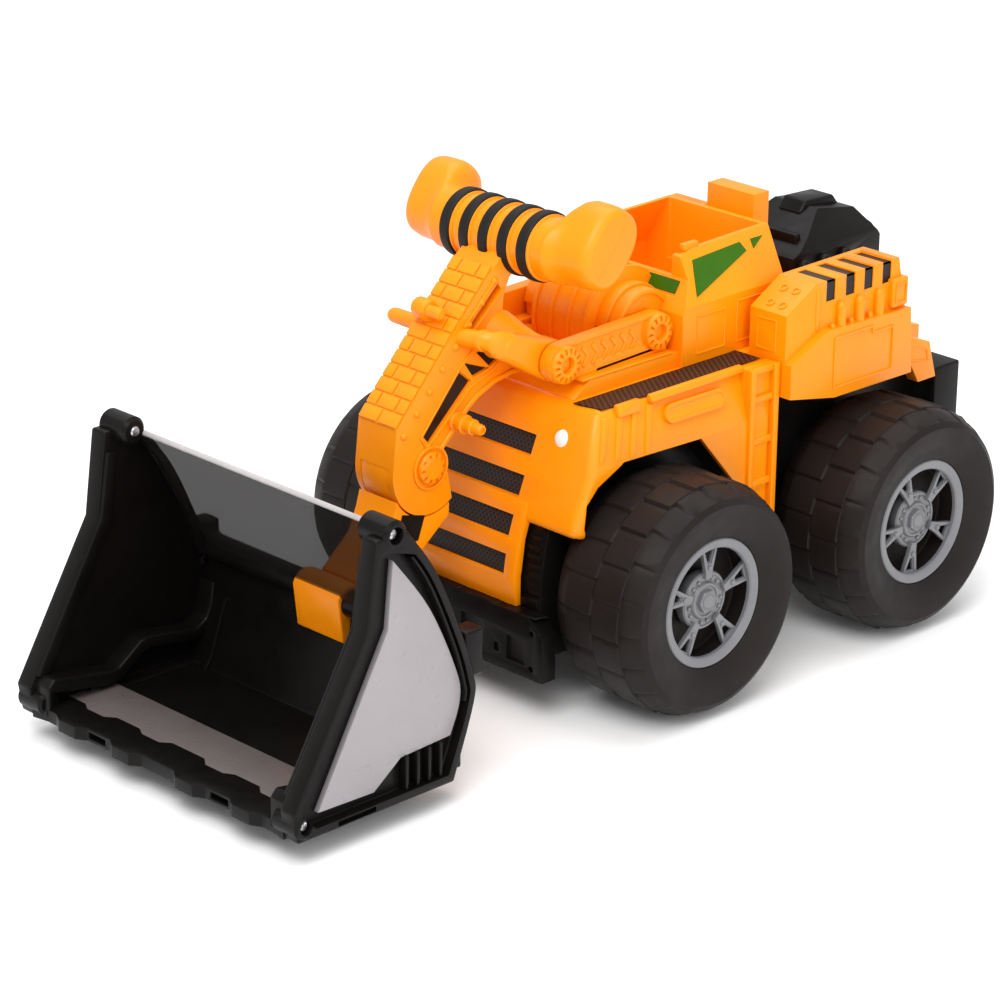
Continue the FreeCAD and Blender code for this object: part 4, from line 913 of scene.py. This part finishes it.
def arm():
    bar = prism("bar", ARM, -ARM_HALF, ARM_HALF)
    foot = rod("foot", PIVOT_C, 27, -ARM_HALF, ARM_HALF, edge=0, steps=96)
    room = prism("room", [(134, 150), (134, 110), (88, 110), (92.9, 135.2), (97.7, 151)], -20, 20)
    boolean(foot, room, "INTERSECT")
    plus(bar, foot)
    bevel(bar, 3.4, 5, 24)
    sunk = [prism(f"sunk_{i}_{side_y}", inset(shape, -0.7), side_y - 1.4, side_y + 1.4)
            for i, shape in enumerate(FILMS) for side_y in (-ARM_HALF, ARM_HALF)]
    minus(bar, *sunk)
    mouth = rod("mouth", PIVOT_C, 27.25, -11.1, 11.1, edge=0, steps=96)
    boolean(mouth, prism("mouth_room", [PIVOT_C, (138, 177), (146, 90), (70, 90), (70, 128)], -20, 20),
            "INTERSECT")
    minus(bar, prism("slot", [(56.9, 236.2), (79.1, 215.4), (74.4, 214.2), (54.4, 232.6)], -20, 20),
          rod("fork_round", PIVOT_C, 23, -11.1, 11.1, edge=0, steps=64), mouth,
          rod("grip_seat", GRIP, 17.4, -20, 20, edge=0, steps=64))
    bevel(bar, 0.5, 2, 45)
    parts = [bar]
    left = []
    for i in range(8):
        centre = (59.5 + 9.53 * i, 238.2 - 10.4 * i)
        left.append(turned(f"rivet_{i}", [(0, 14), (2.1, 14), (2.1, 15.5), (1.5, 16.3), (0.7, 16.6),
                (0, 16.7)], centre, steps=20))
    border = [(109.5, 153.5), (114.5, 161.5), (86, 194.5), (74, 204.5), (55, 205), (48.5, 196), (60, 187),
              (76, 181.5), (93, 167)]
    left.append(bevel(loop("film_border", border, 1.5, 14, 15.9), 0.4, 2))
    edge_path = [(99.5, 151.5), (78.4, 171.4), (71.8, 176), (59.2, 181.3), (46.4, 183.4), (36.8, 183.6)]
    left.append(bevel(band("lower_flange", edge_path, 3.0, 14, 16.6), 0.9, 3))
    left.append(bevel(band("slot_lip", [(82, 216.6), (58.6, 239.4)], 1.6, 14, 16.2), 0.5, 2))
    left.append(bevel(band("slot_lip_low", [(76.5, 211.8), (52.6, 232.6)], 1.4, 14, 15.9), 0.5, 2))
    left.append(bevel(loop("foot_border", arc(PIVOT_C, 12.6, 0, 350, 35), 1.6, 14, 16.4), 0.5, 2))
    left.append(slotted_cap("foot_cap", PIVOT_C, 14.9, 9.4, 10))
    horn = []
    for place, centre, radius in ((13.5, (55, 206.5), 13.6), (17, (53, 205.3), 12.6), (21, (49, 202.2), 11.0),
            (26, (43.6, 198.0), 10.2), (31, (39.2, 194.8), 10.3), (35.2, (37, 193.3), 11.2),
            (37.7, (36.5, 193), 11.6)):
        horn.append((place, oval(centre, radius, radius, 0)))
    left.append(loft("horn", horn))
    strut = []
    for place, centre, radius in ((14, (82.6, 211.2), 5.2), (25, (78.8, 211.3), 5.2),
            (25.6, (78.6, 211.3), 6.1), (27.4, (77.9, 211.2), 6.1), (28, (77.6, 211.2), 5.4),
            (31, (75.4, 210.6), 6.0), (33, (72.6, 209.4), 7.6), (35, (69, 207.8), 8.0),
            (36.6, (66.6, 206.8), 6.6)):
        strut.append((place, oval(centre, radius, radius, 0)))
    parts.append(loft("strut", strut))
    run = Vector(PIVOT_B) - Vector((66, 205.6))
    lean = math.degrees(math.atan2(run.y, run.x))
    lobe = prism("lobe", arc((66, 205.6), 7.6, lean + 90, lean + 270, 12) + arc(PIVOT_B, 11.6, lean - 90,
            lean + 90, 16), 24, 37.7)
    left.append(bevel(lobe, 3.0, 4, 40))
    left.append(turned("stub", [(0, 14), (5.6, 14), (5.6, 17), (4.6, 17.6), (4.6, 20.5), (5.4, 21),
            (5.4, 23.4), (4.2, 24), (3.8, 27), (4.4, 27.4), (4.4, 29.6), (3.3, 30.2), (3.1, 35.2),
            (2.6, 36.2), (1.6, 36.4), (1.5, 35.4), (0, 35.2)], (88, 165), steps=36))
    parts.append(both("arm_sides", *left))
    done(joined("arm_moulding", *parts, *bricks()), "arm", YELLOW, "yellow_plastic", "arm_left_half",
         "arm_right_half", "brick_cover")
    films = [prism(f"film_{i}", shape, 13.4, 13.95) for i, shape in enumerate(FILMS)]
    done(both("arm_black_films", *films), "arm", BLACK_FILM, "black_print", "arm_decals")
    peg = turned("peg_with_round_tip", [(0, 14.5), (4.4, 14.5), (4.4, -37), (3.9, -39.8), (2.9, -41.3),
            (1.6, -42), (0, -42.2)], PEG, steps=36)
    done(peg, "arm", YELLOW, "yellow_plastic", "peg_rod")
    caps = slotted_cap("cap", PIVOT_B, 46.4, 10.8, 14)
    done(both("front_slotted_caps", caps), "arm", YELLOW, "yellow_plastic", "front_pivot_caps")
    hook = prism("hook", [(82, 221), (88, 214.5), (94.5, 219.5), (97.2, 224), (95.6, 228.6), (91, 230.4),
            (86.6, 229)], -12.5, -1.5)
    pin = rod("hook_pin", (92.4, 224.6), 3.4, -2, 8.6, edge=1.0, steps=32)
    done(joined("face_hook", bevel(hook, 2.2, 4), pin), "arm", YELLOW, "yellow_plastic")
    dress(YELLOW, "front_pivot_rod", "bucket_pivot_pin", "bucket_pivot_caps")


def handle():
    """Grip with proud black rings between thin ridges, and two big rounded ends."""
    profile = [(0, -42.4), (17.4, -42.4)]
    for i in range(5):
        middle = RING_PITCH * (i - 2)
        profile += [(17.5, middle - 5.4), (18.5, middle - 4.9), (18.5, middle - 3.8), (16.6, middle - 3.6),
                    (16.6, middle + 3.6), (18.5, middle + 3.8), (18.5, middle + 4.9), (17.5, middle + 5.4)]
    profile += [(17.4, 42.4), (0, 42.4)]
    done(turned("handle_grip", profile, GRIP, steps=96), "arm", YELLOW, "yellow_plastic", "grip_core",
         smooth=30)
    rings = []
    for i in range(5):
        middle = RING_PITCH * (i - 2)
        rings.append(turned(f"ring_{i}", [(16.4, middle - 3.5), (18.9, middle - 3.5), (19.6, middle - 2.7),
                (19.8, middle), (19.6, middle + 2.7), (18.9, middle + 3.5), (16.4, middle + 3.5)], GRIP,
                steps=96))
    done(joined("grip_black_rings", *rings), "arm", RUBBER, "grip_rubber", "grip_rings")
    rings = []
    for place, centre, long, short in ((41.6, (36, 256), 17.2, 17.2), (43.0, (35.6, 256.3), 17.9, 17.4),
            (44.6, (33.4, 257.2), 19.6, 17.6), (46.6, (30.6, 258.8), 21.8, 17.8),
            (49.5, (27.8, 260.2), 23.2, 17.9), (53, (26.4, 260.7), 23.5, 18.0),
            (60, (26.2, 260.7), 23.5, 18.1), (65.4, (26.2, 260.7), 23.3, 17.9),
            (68.2, (26.2, 260.7), 22.6, 17.2), (70.0, (26.2, 260.7), 21.3, 15.8),
            (70.9, (26.2, 260.7), 19.7, 14.2), (71, (26.2, 260.7), 18.6, 13.0)):
        rings.append((place, oval(centre, long, short, 36, full=min(2.5, 2.0 + max(0.0,
                place - 43.0) * 0.06))))
    ear = loft("ear", rings)
    crease = band("crease", [(15, 277), (37.5, 246)], 0.9, 70.4, 71.25)
    done(both("handle_rounded_ends", ear, bevel(crease, 0.3, 1)), "arm", YELLOW, "yellow_plastic",
         "left_handle_end", "right_handle_end", smooth=50)


# ---------------------------------------------------------------- turntable, cab and rear
def turntable():
    base = softened("pedestal", "base", 0.7, 2)
    parts = [base]
    for low, high, radius in ((-20.9, -18.6, 30.5), (-8, -5.6, 30.5), (5.6, 8, 30.5), (18.6, 20.9, 30.5)):
        rib = turned("rib", [(radius - 3, low), (radius + 1, low), (radius + 1.3, (low + high) / 2),
                (radius + 1, high), (radius - 3, high)], PIVOT_A, steps=96)
        boolean(rib, prism("front_room", [(2, 183), (2, 234), (-56.5, 234), (-56.5, 216), (-47.5, 203),
                (-47.5, 183)], -40, 40), "INTERSECT")
        parts.append(rib)
    cheeks = [bevel(band("cheek_arch", arc(PIVOT_A, 20.4, 5, 152, 26), 3.2, 24, 37.2), 0.8, 2),
              bevel(band("cheek_step", arc(PIVOT_A, 22.6, 5, 140, 24), 2.4, 20, 29), 0.8, 2),
              bevel(block("cheek_foot", (-12.5, 24), (20, 37.2), (181, 187)), 0.8, 2),
              bevel(block("foot_border", (-44, 27), (44, 51.4), (181.6, 183.2)), 0.5, 2),
              bevel(block("foot_box", (-45, 12), (30, 46), (181.6, 190)), 1.0, 3)]
    parts.append(both("cheeks", *cheeks))
    done(joined("turntable_housing", *parts), "chassis", YELLOW, "yellow_plastic", "pedestal")


def cab():
    tub = softened("cab_tub", "tub", 1.3, 3)
    side_parts = []
    lower = [(-60, 178), (-84, 178), (-84, 201), (-60, 201)]
    side_parts.append(bevel(loop("door_line", lower, 1.1, 53.6, 54.6), 0.3, 1))
    side_parts.append(bevel(loop("rear_door_line", [(-93, 178), (-122, 178), (-122, 203), (-93, 203)], 1.1,
            53.6, 54.6), 0.3, 1))
    side_parts.append(bevel(block("post_block", (-77, -65), (34.4, 38.4), (233.4, 237.6)), 0.9, 3))
    done(joined("cab_moulding", tub, both("cab_sides", *side_parts)), "chassis", YELLOW, "yellow_plastic",
         "cab_tub")
    way = Vector((-11, 17)).normalized()
    out = Vector((way.y, -way.x))
    low = Vector((-49, 203)) + way * 10.6
    high = Vector((-49, 203)) + way * 18.4
    strip = prism("front_window_film", [tuple(low), tuple(high), tuple(high + out * 0.5),
            tuple(low + out * 0.5)], -42, 42)
    done(strip, "chassis", GREEN_FILM, "green_print")
    dress(GREEN_FILM, "cab_windows")


VENT_STARTS = (-131.3, -148.1, -164, -179.9)
VENT_WIDTH = 8


def pods():
    pod = softened("left_pod", "pod", 1.5, 3)
    for start in VENT_STARTS:
        minus(pod, block("slot_top", (start - VENT_WIDTH, start), (64, 95), (212.4, 220)),
              block("slot_side", (start - VENT_WIDTH, start), (85.6, 95), (201, 220)))
    bevel(pod, 0.4, 2, 45)
    parts = [pod]
    tilt = Matrix.Rotation(math.radians(29.4), 4, "Y")
    for back, up in ((-103.5, 203.4), (-114.5, 209.5)):
        for across in (70, 79):
            ring = turned("ring", [(1.7, -0.6), (2.7, -0.6), (2.7, 0.5), (1.7, 0.5)], (0, 0), along="Z",
                    steps=24)
            ring.data.transform(Matrix.Translation(drawn("Y", back, up, across)) @ tilt
                                @ Matrix.Translation(-drawn("Z", 0, 0)))
            parts.append(ring)
    parts.append(bevel(loop("front_panel", [(65, 177), (65, 196), (80, 196), (80, 177)], 1.3, -98.6, -97.5,
            along="X"), 0.3, 1))
    parts.append(bevel(loop("skirt_panel", [(-134, 150), (-134, 181), (-168, 181), (-168, 177), (-186, 177),
            (-186, 150)], 1.3, 91.5, 92.8), 0.35, 2))
    parts.append(bevel(block("rear_bump", (-199.5, -186), (84, 90.6), (186, 203)), 1.2, 3))
    parts.append(bevel(loop("rear_bump_line", [(-197.5, 188.5), (-188, 188.5), (-188, 200.5),
            (-197.5, 200.5)], 1.0, 90, 91.4), 0.3, 1))
    parts.append(bevel(block("side_step", (-126, -122.6), (84, 88.0), (186, 210)), 0.9, 2))
    for back in (-143, -159, -176):
        parts.append(turned("pin", [(0, 184), (2.9, 184), (2.9, 196.2), (2.3, 198.4), (1.2, 199.6),
                (0, 199.9)], (back, 88.4), along="Z", steps=28))
    for back in (-135, -151, -167.5):
        parts.append(turned("bump", [(0, 184), (1.7, 184), (1.6, 187.2), (1.0, 188.2), (0, 188.5)],
                (back, 89.4), along="Z", steps=20))
    done(both("side_tanks", *parts), "chassis", YELLOW, "yellow_plastic", "left_pod", "right_pod")
    strips = []
    for start in VENT_STARTS:
        strips.append(block("top_strip", (start - VENT_WIDTH + 0.1, start - 0.1), (64.1, 86.2),
                (212.2, 213.1)))
        strips.append(block("side_strip", (start - VENT_WIDTH + 0.1, start - 0.1), (85.4, 86.2),
                (201.1, 213.1)))
    done(both("tank_vent_films", *strips), "chassis", BLACK_FILM, "black_print", "pod_vents", smooth=20)


def rear_end():
    shell = softened("rear_body", "shell", 2.0, 3)
    lines = [bevel(loop("flap_line", [(-212, 146), (-213, 157), (-229, 150.5), (-231, 142)], 1.1, 82.6, 83.6),
                   0.3, 1)]
    back_line = bevel(loop("tail_line", [(-52, 143), (-52, 152), (52, 152), (52, 143)], 1.2, -248.4, -249.7,
            along="X"), 0.3, 1)
    done(joined("rear_deck_and_flaps", shell, both("lines", *lines), back_line), "chassis", YELLOW,
         "yellow_plastic", "rear_body")
    engine = softened("engine_block", "engine", 1.1, 2)
    parts = [engine, bevel(prism("ridge", [(-196, 222), (-202, 229.2), (-226, 228.2), (-233, 220)], -9, 9),
            1.6, 3), bevel(block("rear_step", (-252, -240), (-21, 21), (185.2, 199)), 1.6, 3),
             turned("flare", [(0, -250), (4.4, -250), (4.4, -258), (5.2, -262), (8.2, -266.4), (8.4, -267.8),
            (7.2, -268), (4.0, -264.4), (0, -264.2)], (0, 194), along="X", steps=48)]
    for i in range(4):
        parts.append(bevel(block(f"cover_rib_{i}", (-183 - 14 * i, -178 - 14 * i), (-22, 22), (205, 216)),
                1.0, 2))
    done(joined("engine_moulding", *parts), "chassis", BLACK, "black_plastic", "engine_block")


wheels()
chassis()
bumpers()
front_body()
body_trim()
ladders()
bucket_sides()
bucket_pan()
links()
arm()
handle()
turntable()
cab()
pods()
rear_end()


# ---------------------------------------------------------------- stage, camera, light
def stage():
    bpy.ops.object.select_all(action="DESELECT")
    bpy.ops.mesh.primitive_plane_add(size=14, location=(0, 0, 0))
    floor = bpy.context.object
    floor.name = "pale_floor"
    material = bpy.data.materials.new("matt white paper floor")
    material.use_nodes = True
    shader = material.node_tree.nodes["Principled BSDF"]
    shader.inputs["Base Color"].default_value = colour("FCFCFC")
    shader.inputs["Roughness"].default_value = 0.9
    floor.data.materials.append(material)
    world = bpy.data.worlds.new("studio")
    bpy.context.scene.world = world
    world.use_nodes = True
    world.node_tree.nodes["Background"].inputs["Color"].default_value = (1, 1, 1, 1)
    world.node_tree.nodes["Background"].inputs["Strength"].default_value = 0.74
    for name, place, size_m, power, in (("key", (1.2, 0.7, 1.9), 1.3, 30), ("fill", (0.4, 2.2, 0.9), 1.8, 14),
                                        ("top", (-0.5, -0.3, 2.2), 2.0, 26)):
        light = bpy.data.objects.new(name, bpy.data.lights.new(name, "AREA"))
        light.data.size = size_m
        light.data.energy = power
        light.location = place
        light.rotation_euler = (Vector((0, 0, 0.12)) - Vector(place)).to_track_quat("-Z", "Y").to_euler()
        bpy.context.scene.collection.objects.link(light)


def camera():
    lens = bpy.data.cameras.new("camera")
    lens.lens = 134.72
    lens.sensor_width = 36
    eye = bpy.data.objects.new("camera", lens)
    bpy.context.scene.collection.objects.link(eye)
    heading, pitch, roll = (Matrix.Rotation(math.radians(degrees), 4, axis)
                            for degrees, axis in ((135.416, "Z"), (68.821, "X"), (0.6705, "Z")))
    eye.matrix_world = Matrix.Translation((1.3937, 1.3852, 0.8554)) @ (heading @ pitch @ roll)
    bpy.context.scene.camera = eye
    bpy.context.scene.view_settings.view_transform = "Standard"


stage()
camera()
